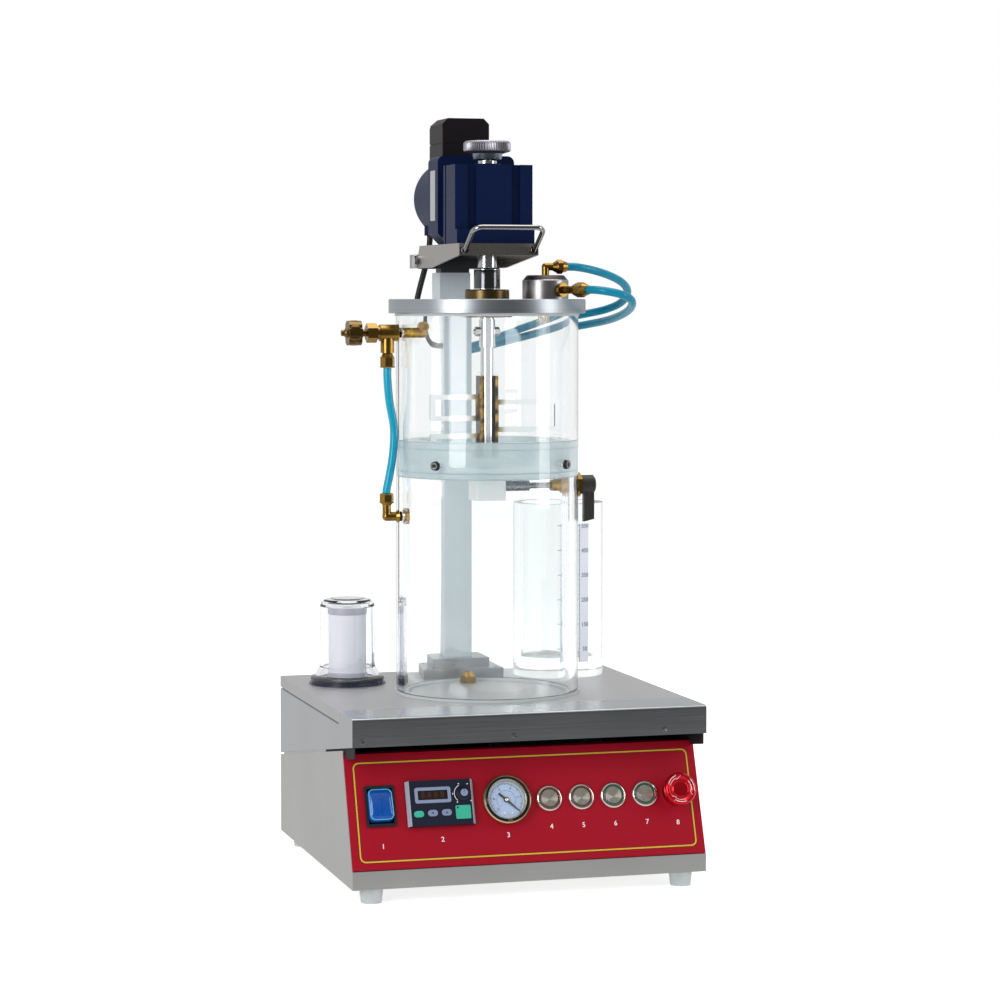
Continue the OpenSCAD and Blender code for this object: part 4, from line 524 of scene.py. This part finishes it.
ticks = around_dial(51)
lines = [stroke(polar(15.6, around_dial(91)), 0.3)]
lines += [stroke(polar(np.array([15.6, 14.6]), a), 0.22) for i, a in enumerate(ticks) if i % 5]
lines += [stroke(polar(np.array([15.6, 13.6]), a), 0.42) for a in ticks[::5]]
shell("gauge_scale", "machine", black_ink, [gauge(lifted(g, printed)) for g in lines],
      flats=[figure(str(n * 2), 2.2, gauge, *polar(11.6, a), printed, a - math.pi / 2)
             for n, a in enumerate(around_dial(6))])
inner = [stroke(polar(9.2, around_dial(91)), 0.35)]
inner += [stroke(polar(np.array([9.2, 8.0]), a), 0.4) for a in ticks[::5]]
shell("gauge_inner_scale", "machine", dial_blue, [gauge(lifted(g, printed)) for g in inner],
      flats=[figure(str(n), 1.5, gauge, *polar(6.4, a), printed, a - math.pi / 2)
             for n, a in enumerate(around_dial(4))])
shell("gauge_dial_screws", "machine", bright_steel, [
    turned([(1.5, 2.6), (1.4, 3.0), (0.9, 3.2), (0, 3.25)], on_panel(gauge_x + x, row - 12.6), 20)
    for x in (-3.6, 3.6)])
shell("gauge_hub", "pointer", gauge_brass, [turned(
    [(1.7, 4.6), (1.6, 5.2), (1.0, 5.6), (0, 5.7)], gauge, 24)])


def clear(name, tint, roughness, ior, milk=0.0):
    """A clear plastic or glass with a trace of tint and fine handling marks that only move the
    gloss a little; `milk` is the share of light that it scatters. Lamps shine through it."""
    m, t = material(name)
    place = add(t, "TexCoord")
    marks = add(t, "TexNoise", {"Vector": place.outputs["Object"]}, Scale=60.0, Detail=3.0)
    rough = add(t, "MapRange", {"Value": marks},
                From_Min=0.4, From_Max=0.75, To_Min=roughness, To_Max=roughness + 0.03)
    skin = add(t, "BsdfPrincipled", {"Roughness": rough},
               Base_Color=linear(tint), Transmission_Weight=1.0 - milk, IOR=ior)
    ray = add(t, "LightPath")
    lamp = add(t, "Math", {0: ray.outputs["Is Shadow Ray"], 1: ray.outputs["Is Diffuse Ray"]},
               operation="MAXIMUM")
    through = add(t, "BsdfTransparent", Color=linear(tint))
    let = add(t, "MixShader", {0: lamp, 1: skin, 2: through})
    add(t, "OutputMaterial", {"Surface": let})
    return m


gauge_glass = clear("window_glass", "#fbfdff", 0.0, 1.5)
shell("gauge_glass", "machine", gauge_glass, [turned(
    [(0, 6.3), (18.2, 6.3), (18.2, 6.6), (10, 6.95), (0, 7.05)], gauge, 64)], 60)

# ----------------------------------------
# Push buttons. Stainless anti-vandal switches held by a nut behind the panel: a polished bezel,
# a coloured lamp ring and a cap that was faced on a lathe, so light fans out from its centre.
polished_bezel = grained("polished_stainless_bezel", "#fbf6ec", "#dcd5c8", 0.12, 1.5, 0.003,
                         Metallic=1.0)
dress(polished_bezel, "switch_bodies")
for number, x in enumerate(button_xs, 1):
    faced, t = material(f"lathe_faced_cap_{number}")
    fan = add(t, "Tangent", direction_type="RADIAL", axis="Y")
    where = add(t, "TexCoord")
    centre = to_frame(on_panel(x, row, 2.6)(np.zeros(3)))
    apart = add(t, "VectorMath", {0: where.outputs["Object"], 1: tuple(centre)},
                operation="DISTANCE")
    # Feed lines of the facing tool, 0.1 mm apart in truth, drawn 0.7 mm apart.
    feed = add(t, "Math", {0: apart, 1: 2 * math.pi / 0.0007}, operation="MULTIPLY")
    wave = add(t, "Math", {0: feed}, operation="SINE")
    rise = add(t, "Bump", {"Height": wave}, Strength=0.2, Distance=0.00003)
    tint = add(t, "MapRange", {"Value": wave}, From_Min=-1.0, To_Min=0.9, To_Max=1.0)
    shade = add(t, "Mix", {"Factor": tint, "A": linear("#a39d8e"), "B": linear("#f3eddd")},
                data_type="RGBA")
    skin = add(t, "BsdfPrincipled", {"Base Color": shade, "Normal": rise, "Tangent": fan},
               Metallic=1.0, Roughness=0.32, Anisotropic=0.9, Anisotropic_Rotation=0.25)
    add(t, "OutputMaterial", {"Surface": skin})
    dress(faced, f"button_cap_{number}")
lamp_red = grained("dark_red_lamp_ring", "#6d2a2c", "#57191c", 0.2, 1.5, 0.004, Coat_Weight=0.5)
lamp_green = grained("dark_green_lamp_ring", "#1f5a44", "#144534", 0.2, 1.5, 0.004,
                     Coat_Weight=0.5)
for colour, ink, xs in (("red", lamp_red, button_xs[:2]), ("green", lamp_green, button_xs[2:])):
    shell(f"{colour}_lamp_rings", "machine", ink, [turned(
        [(9.72, 1.9), (9.7, 2.9), (9.3, 3.1), (8.6, 2.9), (8.45, 2.0)], on_panel(x, row))
        for x in xs])
shell("button_bezels", "machine", polished_bezel, [turned(
    [(12.85, 0), (12.85, 0.9), (12.6, 1.9), (11.9, 2.8), (10.9, 3.3), (9.9, 3.25), (9.7, 2.7)],
    on_panel(x, row)) for x in button_xs])

# ----------------------------------------
# Emergency stop. A dished red head of anodised aluminium, turned and then printed with white
# twist arrows, on a plastic plunger in a steel panel body.
stop_red = grained("red_anodised_aluminium", "#e3122a", "#c4081c", 0.2, 1.2, 0.006,
                   Metallic=0.8, Coat_Weight=0.2, Coat_Roughness=0.08)
dress(black_nylon, "estop_plunger")
stop_seat = on_panel(stop_x, row, 7.9)
stop_edge = [(9.7, 10.5), (12.0, 12.3), (12.8, 12.55), (13.6, 12.4), (14.5, 11.8), (15.3, 10.9)]
stop_profile = [(0, 0), (4.2, 0), (10, 0), (13, 3), (15.3, 5.0), (15.9, 6.0), (16, 7.0), (16, 8.6),
                (15.8, 9.8)] + stop_edge[::-1] + [
                (9.1, 10.15), (8.5, 10.2), (8.0, 10.9), (7.4, 11.35), (6.6, 11.45), (0, 11.5)]
stop_head = shell("stop_head_dished", "stop_head", stop_red,
                  [turned(stop_profile, stop_seat, 72)], 50)
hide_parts("estop_head")


def dish(r):
    """Height of the dish's slope at radius r, between its groove and its rim, plus the ink."""
    return 0.1 + np.interp(r, *zip(*stop_edge))


def twist_arrow(start):
    """Outline of a bent arrow: an arc band from `start` for 52 degrees and a head that spreads
    beyond it by 1.2 mm and comes to a point 22 degrees on, all as x, y from polar points."""
    back = np.linspace(0, -52, 12)
    turns = [(13.0, b) for b in back] + [(14.3, -52), (12.0, -74), (9.5, -52)]
    turns += [(10.7, b) for b in back[::-1]] + [(13.0, 0)]
    r, a = np.array(turns, float).T
    return polar(r, np.radians(a + start))


shell("stop_arrows", "stop_head", white_ink,
      [stop_seat(lifted(stroke(twist_arrow(a), 0.55), dish)) for a in (161, 41, -72)])

# ----------------------------------------
# Water filter. A slate moulded foot on the deck, a spun-white polypropylene cartridge with a
# grey end cap, and a clear styrene-acrylonitrile bowl that turns and lifts off upwards.
spun_white = grained("spun_polypropylene_cartridge", "#ffffff", "#eeeff5", 0.55, 1.4, 0.12,
                     stretch=(1, 1, 0.5))
cap_grey = grained("grey_end_cap", "#c2c2c9", "#a9a9b2", 0.4, 1.0, 0.02)
blue_foot = grained("slate_moulded_foot", "#34394d", "#212536", 0.25, 1.0, 0.02)
dress(blue_foot, "filter_base")
dress(spun_white, "filter_cartridge")
filter_seat = stand((-120, 253, 174.5))
shell("cartridge_cap", "machine", cap_grey, [turned(
    [(19.2, 70.5), (19.75, 71), (19.75, 77.5), (19.2, 79.0), (18, 79.2), (6, 79.3), (5.5, 80.4),
     (0, 80.6)], filter_seat)])
shell("cartridge_foot_ring", "machine", cap_grey, [turned(
    [(20.3, 7.2), (20.4, 9.0), (19.8, 11.4), (19.1, 11.8)], filter_seat)])
styrene = clear("clear_styrene_bowl", "#f8f8fb", 0.01, 1.47)
dress(styrene, "filter_bowl")
o_ring = grained("black_nitrile_ring", "#27282b", "#17181a", 0.5, 1.5, 0.02)
shell("filter_o_ring", "machine", o_ring, [filter_seat(carried(
    lifted(ring(33.6, 64), 5.2)[:-1], ring(1.2, 10), (0, 0, 1), closed=True))])

# ----------------------------------------
# Vessel. A length of cast acrylic tube between two white silicone rings; its cut ends are
# sanded and its wall is polished. The machine's lid is pulled down on it by the vacuum.
acrylic = clear("cast_acrylic_tube", "#fafcfc", 0.0, 1.49)
white_silicone = grained("white_silicone_ring", "#e4e7e8", "#cfd4d6", 0.45, 1.5, 0.02,
                         Transmission_Weight=0.2, IOR=1.41)
dress(acrylic, "vessel_tube")
dress(white_silicone, "seal_rings")

# Bowl. A dished disc of milky polypropylene, turned, with two sealing grooves, bedded in clear
# silicone against the wall and held by four radial screws.
bowl_plastic = clear("milky_turned_polypropylene", "#edf4f6", 0.22, 1.3, 0.22)
dress(bowl_plastic, "bowl_floor")
bedding = grained("silicone_bedding_film", "#d3e2e7", "#bfd0d7", 0.4, 3.0, 0.004, Alpha=0.4)
joint_ink = grained("sanded_groove_line", "#a3b4b6", "#8fa1a4", 0.5, 3.0, 0.004, Alpha=0.6)
tube_axis = stand((0, vessel_y, 0))
shell("bowl_bedding", "machine", bedding, [turned([(82.12, 388), (82.12, 424)], tube_axis, 128)])
shell("bowl_seal_lines", "machine", joint_ink, [
    turned([(82.2, z), (82.2, z + 0.8)], tube_axis, 128) for z in (388, 393.6, 416.4, 423.2)])

# ----------------------------------------
# Pour valve. A white acetal block with a chromed ball under the bowl, a steel stem with a
# coupling, a gland and nut through the wall, and a black painted lever.
acetal = grained("white_acetal_block", "#fbfbfa", "#eceeee", 0.35, 1.5, 0.006,
                 Subsurface_Weight=0.1, Subsurface_Scale=0.003)
turned_steel = grained("turned_dark_steel", "#8d9297", "#65696d", 0.26, 0.7, 0.006,
                       stretch=(1, 40, 40), Metallic=1.0)
black_paint = grained("black_oven_paint", "#3a3733", "#282623", 0.4, 1.0, 0.02)
dress(acetal, "pour_block")
dress(turned_steel, "valve_stem")
dress(black_paint, "valve_lever")

# ----------------------------------------
# Brass fittings. Bar brass, machined and left bare, so it has gone from yellow to brown where
# it is handled least; tool marks run round each body.
brass = grained("machined_bare_brass", "#bb9446", "#7c5f2c", 0.22, 1.1, 0.012,
                stretch=(1, 1, 2), Metallic=1.0)
aged_brass = grained("handled_brass", "#8f7342", "#5f4c2b", 0.3, 1.1, 0.012, Metallic=1.0)
dress(brass, "pipe_fittings", "needle_valve")
dress(aged_brass, "handwheel")
needle_axis = stand((0, vessel_y, 529), (0, 0, 1), (0, 1, 0))


def fluted(rows, flutes, a):
    """A handwheel or knob: at the angles a, each row's radius is r + wave * flutes."""
    return np.stack([lifted(polar(r + wave * flutes, a), z) for r, z, wave in rows])


# Twelve flutes, |cos 6a| about its mean of 0.7.
a = np.linspace(0, 2 * np.pi, 145)
shell("needle_handwheel", "needle", aged_brass, [needle_axis(fluted((
    (0, 128.2, 0), (6.5, 128.2, 0), (9.8, 129.0, 0.3), (11.6, 130.2, 0.6), (12.1, 131.6, 0.65),
    (12.1, 137.4, 0.65), (11.5, 139.4, 0.6), (9.6, 140.6, 0.3), (8.4, 140.2, 0), (7.2, 138.6, 0),
    (4.2, 138.4, 0), (3.6, 141.2, 0), (3.4, 143.4, 0), (2.9, 145.6, 0), (1.6, 146.9, 0),
    (0, 147.3, 0)), np.abs(np.cos(6 * a)) - 0.7, a))], 40)
thread = [(2.4 + 0.35 * (k % 2), 110 + 0.9 * k) for k in range(21)]
shell("needle_spindle", "needle", brass, [turned(
    [(0, 108), (2.4, 108)] + thread + [(2.4, 129), (0, 129)], needle_axis, 32)], 25)
nuts = (((-101, vessel_y, 496), 14.4, 9), ((-102, vessel_y, 363.5), 14, 7.5))
for number, (seat, across_flats, tall) in enumerate(nuts, 1):
    r = across_flats / 2 / math.cos(math.pi / 6)
    foot = [(r * 0.86, -0.9), (r * 0.9, -0.3), (r * 0.86, 0.1)]
    shoulder = [(r * 0.86, tall - 0.1), (r * 0.88, tall + 0.5), (5.2, tall + 1.5),
                (4.2, tall + 1.6)]
    shell(f"hose_nut_collar_{number}", "machine", brass,
          [turned(profile, stand(seat), 32) for profile in (foot, shoulder)])

# ----------------------------------------
# Lid. Plate aluminium, faced and turned: fine rings on its top and round its rim, both edges
# broken. The brass seal housing is bolted up through its middle.
lid_alloy, t = material("lathe_turned_aluminium")
place = add(t, "TexCoord")
centred = add(t, "Mapping", {"Vector": place.outputs["Object"]},
              Location=tuple(-to_frame((0, vessel_y, 0))))
level = add(t, "VectorMath", {0: centred, 1: (1, 1, 0)}, operation="MULTIPLY")
radius = add(t, "VectorMath", {0: level}, operation="LENGTH")
height = add(t, "SeparateXYZ", {0: place.outputs["Object"]})
rings = add(t, "Math", {0: radius, 1: height.outputs["Z"]}, operation="ADD")
# Feed marks 0.15 mm apart in truth, drawn 1 mm apart.
grooves = add(t, "TexNoise", {"W": rings}, noise_dimensions="1D", Scale=1000.0, Detail=3.0)
tint = add(t, "Mix", {"Factor": grooves, "A": linear("#969da2"), "B": linear("#c2c8cd")},
           data_type="RGBA")
rise = add(t, "Bump", {"Height": grooves}, Strength=0.7, Distance=0.00003)
skin = add(t, "BsdfPrincipled", {"Base Color": tint, "Normal": rise}, Metallic=1.0, Roughness=0.36)
add(t, "OutputMaterial", {"Surface": skin})
lid = shell("lid_turned", "machine", lid_alloy, [turned(
    [(20, 562), (20, 548), (96.2, 548), (96.7, 548.2), (97, 548.7), (97, 561.0), (96.8, 561.6),
     (96.2, 562), (20, 562)], tube_axis, 160)], 30)
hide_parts("lid_plate")
seal_bronze = grained("turned_seal_bronze", "#7d6c48", "#55482e", 0.3, 0.9, 0.01,
                      stretch=(40, 40, 1), Metallic=1.0)
dress(seal_bronze, "shaft_seal")

# Manifold. A round aluminium block, turned, bead-blasted dark on its chamfer, screwed down on
# the lid; water and air cross in it to the two hoses and the nozzles under the lid.
grey_alloy = grained("grey_anodised_aluminium", "#bdbaba", "#8f8c8c", 0.34, 0.8, 0.008,
                     stretch=(30, 30, 1), Metallic=1.0)
dark_blasted = grained("dark_blasted_chamfer", "#55504f", "#3b3736", 0.4, 0.8, 0.02, Metallic=1.0)
dress(grey_alloy, "manifold")
manifold_seat = stand((60, vessel_y, 562))
shell("manifold_skin", "machine", grey_alloy, [turned(
    [(22.9, 0), (22.95, 17.6), (22.6, 18.6)], manifold_seat, 72)], 30)
shell("manifold_chamfer", "machine", dark_blasted, [turned(
    [(22.6, 18.6), (18.6, 23.2), (17.9, 23.6), (6, 23.7), (0, 23.7)], manifold_seat, 72)], 30)

# ----------------------------------------
# Paddle. Stainless bar and plate, welded and polished; straw heat tint is left beside the
# welds. Its collar takes the hexagon of the drive rod.
paddle_bright, t = material("polished_welded_stainless")
place = add(t, "TexCoord")
axes = add(t, "SeparateXYZ", {0: place.outputs["Object"]})
off_axis = add(t, "Math", {0: axes.outputs["X"]}, operation="ABSOLUTE")
mottle = add(t, "TexNoise", {"Vector": place.outputs["Object"]}, Scale=120.0, Detail=3.0)
heat = add(t, "MapRange", {"Value": off_axis}, From_Min=0.011, From_Max=0.019,
           To_Min=1.0, To_Max=0.0)
scale = add(t, "MapRange", {"Value": mottle}, From_Min=0.4, From_Max=0.62)
straw = add(t, "Mix", {"Factor": scale, "A": linear("#2b2622"), "B": linear("#c99a44")},
            data_type="RGBA")
tint = add(t, "Mix", {"Factor": heat, "A": linear("#fdfdfc"), "B": straw}, data_type="RGBA")
# Where the surface faces left, past 0.6, the bars' ends are painted dark: a painted reflection of
# the dark room in front.
facing_out = add(t, "SeparateXYZ", {0: place.outputs["Normal"]})
painted_dark_end_mask = add(t, "Math", {0: facing_out.outputs["X"], 1: -0.6}, operation="LESS_THAN")
tint_with_painted_dark_ends = add(t, "Mix", {"Factor": painted_dark_end_mask, "A": tint, "B": linear("#2c2c30")}, data_type="RGBA")
rise = add(t, "Bump", {"Height": mottle}, Strength=0.5, Distance=0.00003)
skin = add(t, "BsdfPrincipled", {"Base Color": tint_with_painted_dark_ends, "Normal": rise}, Metallic=0.3, Roughness=0.3)
add(t, "OutputMaterial", {"Surface": skin})
dress(paddle_bright, "paddle_frames")
dress(bright_steel, "paddle_shaft")
collar_finish = grained("dark_polished_collar", "#77787b", "#4b4c50", 0.14, 1.0, 0.004,
                        Metallic=1.0)
shell("paddle_collar_skin", "paddle", collar_finish, [turned(
    [(6.7, 571.9), (12.2, 571.9), (13.05, 572.6), (13.05, 590.6), (12.2, 592.2), (8.6, 592.3)],
    tube_axis, 64)], 30)

# ----------------------------------------
# Column. Square-drawn aluminium box, anodised a pale blue-grey, bolted to the deck through two
# milled plates, with a black painted hinge bracket on its top.
anodised = grained("pale_anodised_column", "#dde5ea", "#c0ccd3", 0.38, 0.7, 0.004,
                   stretch=(1, 1, 60), Metallic=0.2)
milled = grained("milled_aluminium_plate", "#b5b9be", "#94989d", 0.3, 1.0, 0.006,
                 stretch=(30, 1, 1), Metallic=1.0)
bracket_paint = grained("dark_textured_paint", "#3b3d42", "#2a2b2f", 0.5, 0.8, 0.04)
dress(anodised, "column")
dress(milled, "column_foot")
dress(bracket_paint, "hinge_bracket")
dress(bright_steel, "hinge_pin")

# ----------------------------------------
# Head. A folded stainless tray carries a cast gear case and its motor in navy enamel, a black
# moulded terminal box, a chromed wire handle and the lifting knob on the drive rod.
tray_steel = grained("brushed_tray_steel", "#b8b4ae", "#948f89", 0.28, 0.8, 0.004,
                     stretch=(60, 60, 1), Metallic=1.0)
navy_enamel = grained("navy_cast_enamel", "#071c48", "#03102e", 0.42, 1.6, 0.03,
                      Specular_IOR_Level=0.14)
box_abs = grained("black_moulded_box", "#1b1619", "#0f0c0f", 0.45, 0.9, 0.03,
                  Specular_IOR_Level=0.2)
chrome = grained("chromed_wire", "#b4b1b1", "#979494", 0.06, 3.0, 0.001, Metallic=1.0)
dress(tray_steel, "head_tray")
dress(navy_enamel, "gear_case", "gear_motor")
dress(box_abs, "terminal_box")
dress(bright_steel, "drive_sleeve")
lean = math.radians(147.8)
grip = stand((0, 111.3, 609.3), (1, 0, 0), (0, math.cos(lean), math.sin(lean)))
# Half of its bar: a leg 35 mm out, a bend of 9 mm, and the grip 40 mm up to its middle.
leg = [(35, y, 0) for y in (0, 8, 16, 24)]
bend = lifted((26, 31) + polar(9, np.radians(np.linspace(0, 90, 9))), 0)
right = np.concatenate([leg, bend, [(x, 40, 0) for x in (18, 9, 0)]])
bar = np.concatenate([right, (right * (-1, 1, 1))[::-1][1:]])
ends = [turned([(0, -3.2), (3.6, -3.2), (3.75, -2.6), (3.75, -0.6), (3.4, 0)],
               stand((x, 110, 609.3), (1, 0, 0), (0, 0, 1)), 24) for x in (-35, 35)]
handle = shell("handle_wire", "head", chrome,
               [grip(carried(bar, ring(2.5, 20), (0, 0, 1)))] + ends, 50)
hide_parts("wire_handle")
plate_grey = grained("blank_plate", "#c8cad0", "#aeb1b8", 0.35, 1.2, 0.004, Metallic=0.6)
side = stand((-39.3, 217, 665), (0, -1, 0), (0, 0, 1))
shell("gear_case_plate", "head", plate_grey, [side(loft(
    ((18, 50, 1, 0), (18, 50, 1, 0.5), (17.4, 49.4, 1, 0.8), (0, 0, 1, 0.8))))])
knob_alloy = grained("grey_anodised_knob", "#b9b8bf", "#93929b", 0.4, 0.8, 0.01, Metallic=1.0)
cone_alloy = grained("blue_grey_anodised_cone", "#a8b3c1", "#737d8a", 0.26, 0.8, 0.01,
                     Metallic=1.0)
# Sixty knurls, cos 60a.
a = np.linspace(0, 2 * np.pi, 241)
lift = shell("lifting_knob", "lift_knob", knob_alloy, [tube_axis(fluted((
    (0, 704.2, 0), (15, 704.4, 0), (22.2, 706.6, 0.2), (22.8, 707.3, 0.45), (22.8, 714.6, 0.45),
    (22.2, 715.9, 0.2), (20.8, 716.9, 0), (12, 717.0, 0), (11.2, 716.4, 0), (0, 716.3, 0)),
    np.cos(60 * a), a))], 40)
shell("lifting_knob_cone", "lift_knob", cone_alloy, [turned(
    [(0, 595.4), (4.9, 595.4), (4.9, 698.4), (13.4, 698.5), (14, 698.9), (16, 706.8), (15, 707.2),
     (0, 707.2)], tube_axis)])
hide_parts("drive_rod")

# ----------------------------------------
# Measuring cylinder. A cast acrylic cup with a thick floor and frosted band, printed with a
# pale blue scale strip, level lines and figures.
dress(acrylic, "measuring_cylinder")
cup = stand((110, 273, 0))
facing = math.radians(-73)


def round_cup(along, z, r):
    """Points on the cup's wall: `along` mm round it from the strip's middle, at height z."""
    flat = polar(r, facing + np.asarray(along) / r)
    flat, z = np.broadcast_arrays(flat, np.asarray(z)[..., None])
    return cup(np.concatenate([flat, z[..., :1]], -1))


def printed_bar(x0, x1, z0, z1, steps, r):
    """A printed bar on the wall, from x0 to x1 round it and from z0 to z1 up it."""
    return round_cup(np.linspace(x0, x1, steps)[None, :], np.array([[z0], [z1]]), r)


strip_blue = grained("pale_blue_scale_print", "#f3f5fd", "#e6eaf7", 0.45, 3.0, 0.002)
grey_ink = grained("grey_blue_scale_ink", "#6f8296", "#5d6f83", 0.45, 3.0, 0.002)
top, bottom = 331, 204.5
levels = np.linspace(top, bottom, 6)
shell("cup_scale_strip", "cylinder", strip_blue, [printed_bar(-5.6, 5.6, 190.5, 332.5, 7, 45.08)])
marks = [printed_bar(-10, -5.6, z - 0.2, z + 0.2, 5, 45.16) for z in np.linspace(top, bottom, 26)]
marks += [printed_bar(-14, -5.6, z - 0.35, z + 0.35, 5, 45.16) for z in levels]
marks += [printed_bar(-6.2, -5.4, 190.5, 332.5, 2, 45.17)]
shell("cup_scale_lines", "cylinder", grey_ink, marks)
numerals = []
for z, text in zip(levels, ("550", "450", "350", "250", "150", "50")):
    flat, faces = figure(text, 4.2, lambda p: p)
    numerals.append((round_cup(flat[:, 0] + 1.2, z - 0.8 + flat[:, 1], 45.2), faces))
shell("cup_figures", "cylinder", grey_ink, [], flats=numerals)

# ----------------------------------------
# Inside and back. Cast pump housing in grey hammer paint, moulded valve bank and mains inlet,
# and a powder-coated control box.
hammer_grey = grained("grey_hammer_paint", "#5f656e", "#474c54", 0.4, 3.0, 0.15, Coat_Weight=0.3)
box_coat = grained("pale_grey_powder_coat", "#cdd0d4", "#bcbfc4", 0.45, 1.2, 0.02)
dress(hammer_grey, "vacuum_pump")
dress(box_coat, "control_box")
dress(black_nylon, "valve_bank", "power_inlet")

# ----------------------------------------
# Studio. A white floor that runs out of sight under a white sky, a large soft light at the
# front left, a weaker one at the front right, and a dark room in front for metal to mirror.
floor_mesh = bpy.data.meshes.new("floor")
floor_mesh.from_pydata([(-6, -6, 0), (6, -6, 0), (6, 8, 0), (-6, 8, 0)], [], [(0, 1, 2, 3)])
floor = bpy.data.objects.new("floor", floor_mesh)
bpy.context.scene.collection.objects.link(floor)
floor_white, t = material("white_paper_floor")
ray = add(t, "LightPath")
paper = add(t, "BsdfDiffuse", Color=(0.9, 0.9, 0.9, 1))
glow = add(t, "Emission", Color=(1, 1, 1, 1), Strength=0.62)
lit = add(t, "AddShader", {0: paper, 1: glow})
where = add(t, "TexCoord")
axes = add(t, "SeparateXYZ", {0: where.outputs["Object"]})
near = add(t, "MapRange", {"Value": axes.outputs["Y"]}, From_Min=-1.1, From_Max=-0.3,
           To_Min=0.1, To_Max=0.75)
mirrored = add(t, "Emission", {"Strength": near}, Color=(1, 1, 1, 1))
# Rough glass sends on rays that count as glossy too; they see the floor as it is.
bounced = add(t, "Math", {0: ray.outputs["Is Glossy Ray"], 1: ray.outputs["Is Transmission Ray"]},
              operation="SUBTRACT", use_clamp=True)
seen = add(t, "MixShader", {0: bounced, 1: lit, 2: mirrored})
plain = add(t, "MixShader", {0: ray.outputs["Is Diffuse Ray"], 1: seen, 2: paper})
add(t, "OutputMaterial", {"Surface": plain})
floor.data.materials.append(floor_white)

world = bpy.data.worlds.new("studio")
bpy.context.scene.world = world
world.use_nodes = True
t = world.node_tree
t.nodes.clear()
ray = add(t, "LightPath")
sky = add(t, "TexCoord")
aim = add(t, "SeparateXYZ", {0: sky.outputs["Generated"]})
front = add(t, "MapRange", {"Value": aim.outputs["Y"]}, From_Min=-0.8, From_Max=0.2,
            To_Min=0.12, To_Max=0.66)
over = add(t, "MapRange", {"Value": aim.outputs["Z"]}, From_Min=0.55, From_Max=0.95,
           To_Min=0.0, To_Max=0.9)
gloss = add(t, "Math", {0: front, 1: over}, operation="MAXIMUM")
# What stands behind clear plastic mirrors a brighter room; direct views see plain white.
behind = add(t, "Math", {0: ray.outputs["Transmission Depth"], 1: 0.5}, operation="GREATER_THAN")
brighter = add(t, "Math", {0: gloss, 1: 1.4}, operation="MULTIPLY")
mirror = add(t, "Mix", {"Factor": behind, "A": gloss, "B": brighter}, data_type="FLOAT")
first = add(t, "Mix", {"Factor": ray.outputs["Is Glossy Ray"], "A": 0.55, "B": mirror},
            data_type="FLOAT")
straight = add(t, "Math", {0: ray.outputs["Is Camera Ray"], 1: ray.outputs["Is Transmission Ray"]},
               operation="MAXIMUM")
power = add(t, "Mix", {"Factor": straight, "A": first, "B": 1.0}, data_type="FLOAT")
light = add(t, "Background", {"Strength": power}, Color=(1, 1, 1, 1))
add(t, "OutputWorld", {"Surface": light})

for name, where_at, target, across, tall, watts in (
        ("key_softbox", (-1.75, -1.35, 0.95), (0, 0, 0.4), 0.9, 1.4, 22),
        ("fill_softbox", (1.7, -1.0, 0.85), (0, 0, 0.4), 0.6, 1.3, 9),
        ("top_softbox", (0.2, 0.3, 2.2), (0, 0, 0.4), 1.4, 1.4, 14)):
    lamp = bpy.data.lights.new(name, "AREA")
    lamp.shape, lamp.size, lamp.size_y, lamp.energy = "RECTANGLE", across, tall, watts
    holder = bpy.data.objects.new(name, lamp)
    bpy.context.scene.collection.objects.link(holder)
    holder.location = where_at
    aim = np.array(target) - where_at
    aim /= np.linalg.norm(aim)
    holder.rotation_euler = (math.acos(-aim[2]), 0, math.atan2(-aim[0], aim[1]))

bpy.context.scene.view_settings.view_transform = "Standard"
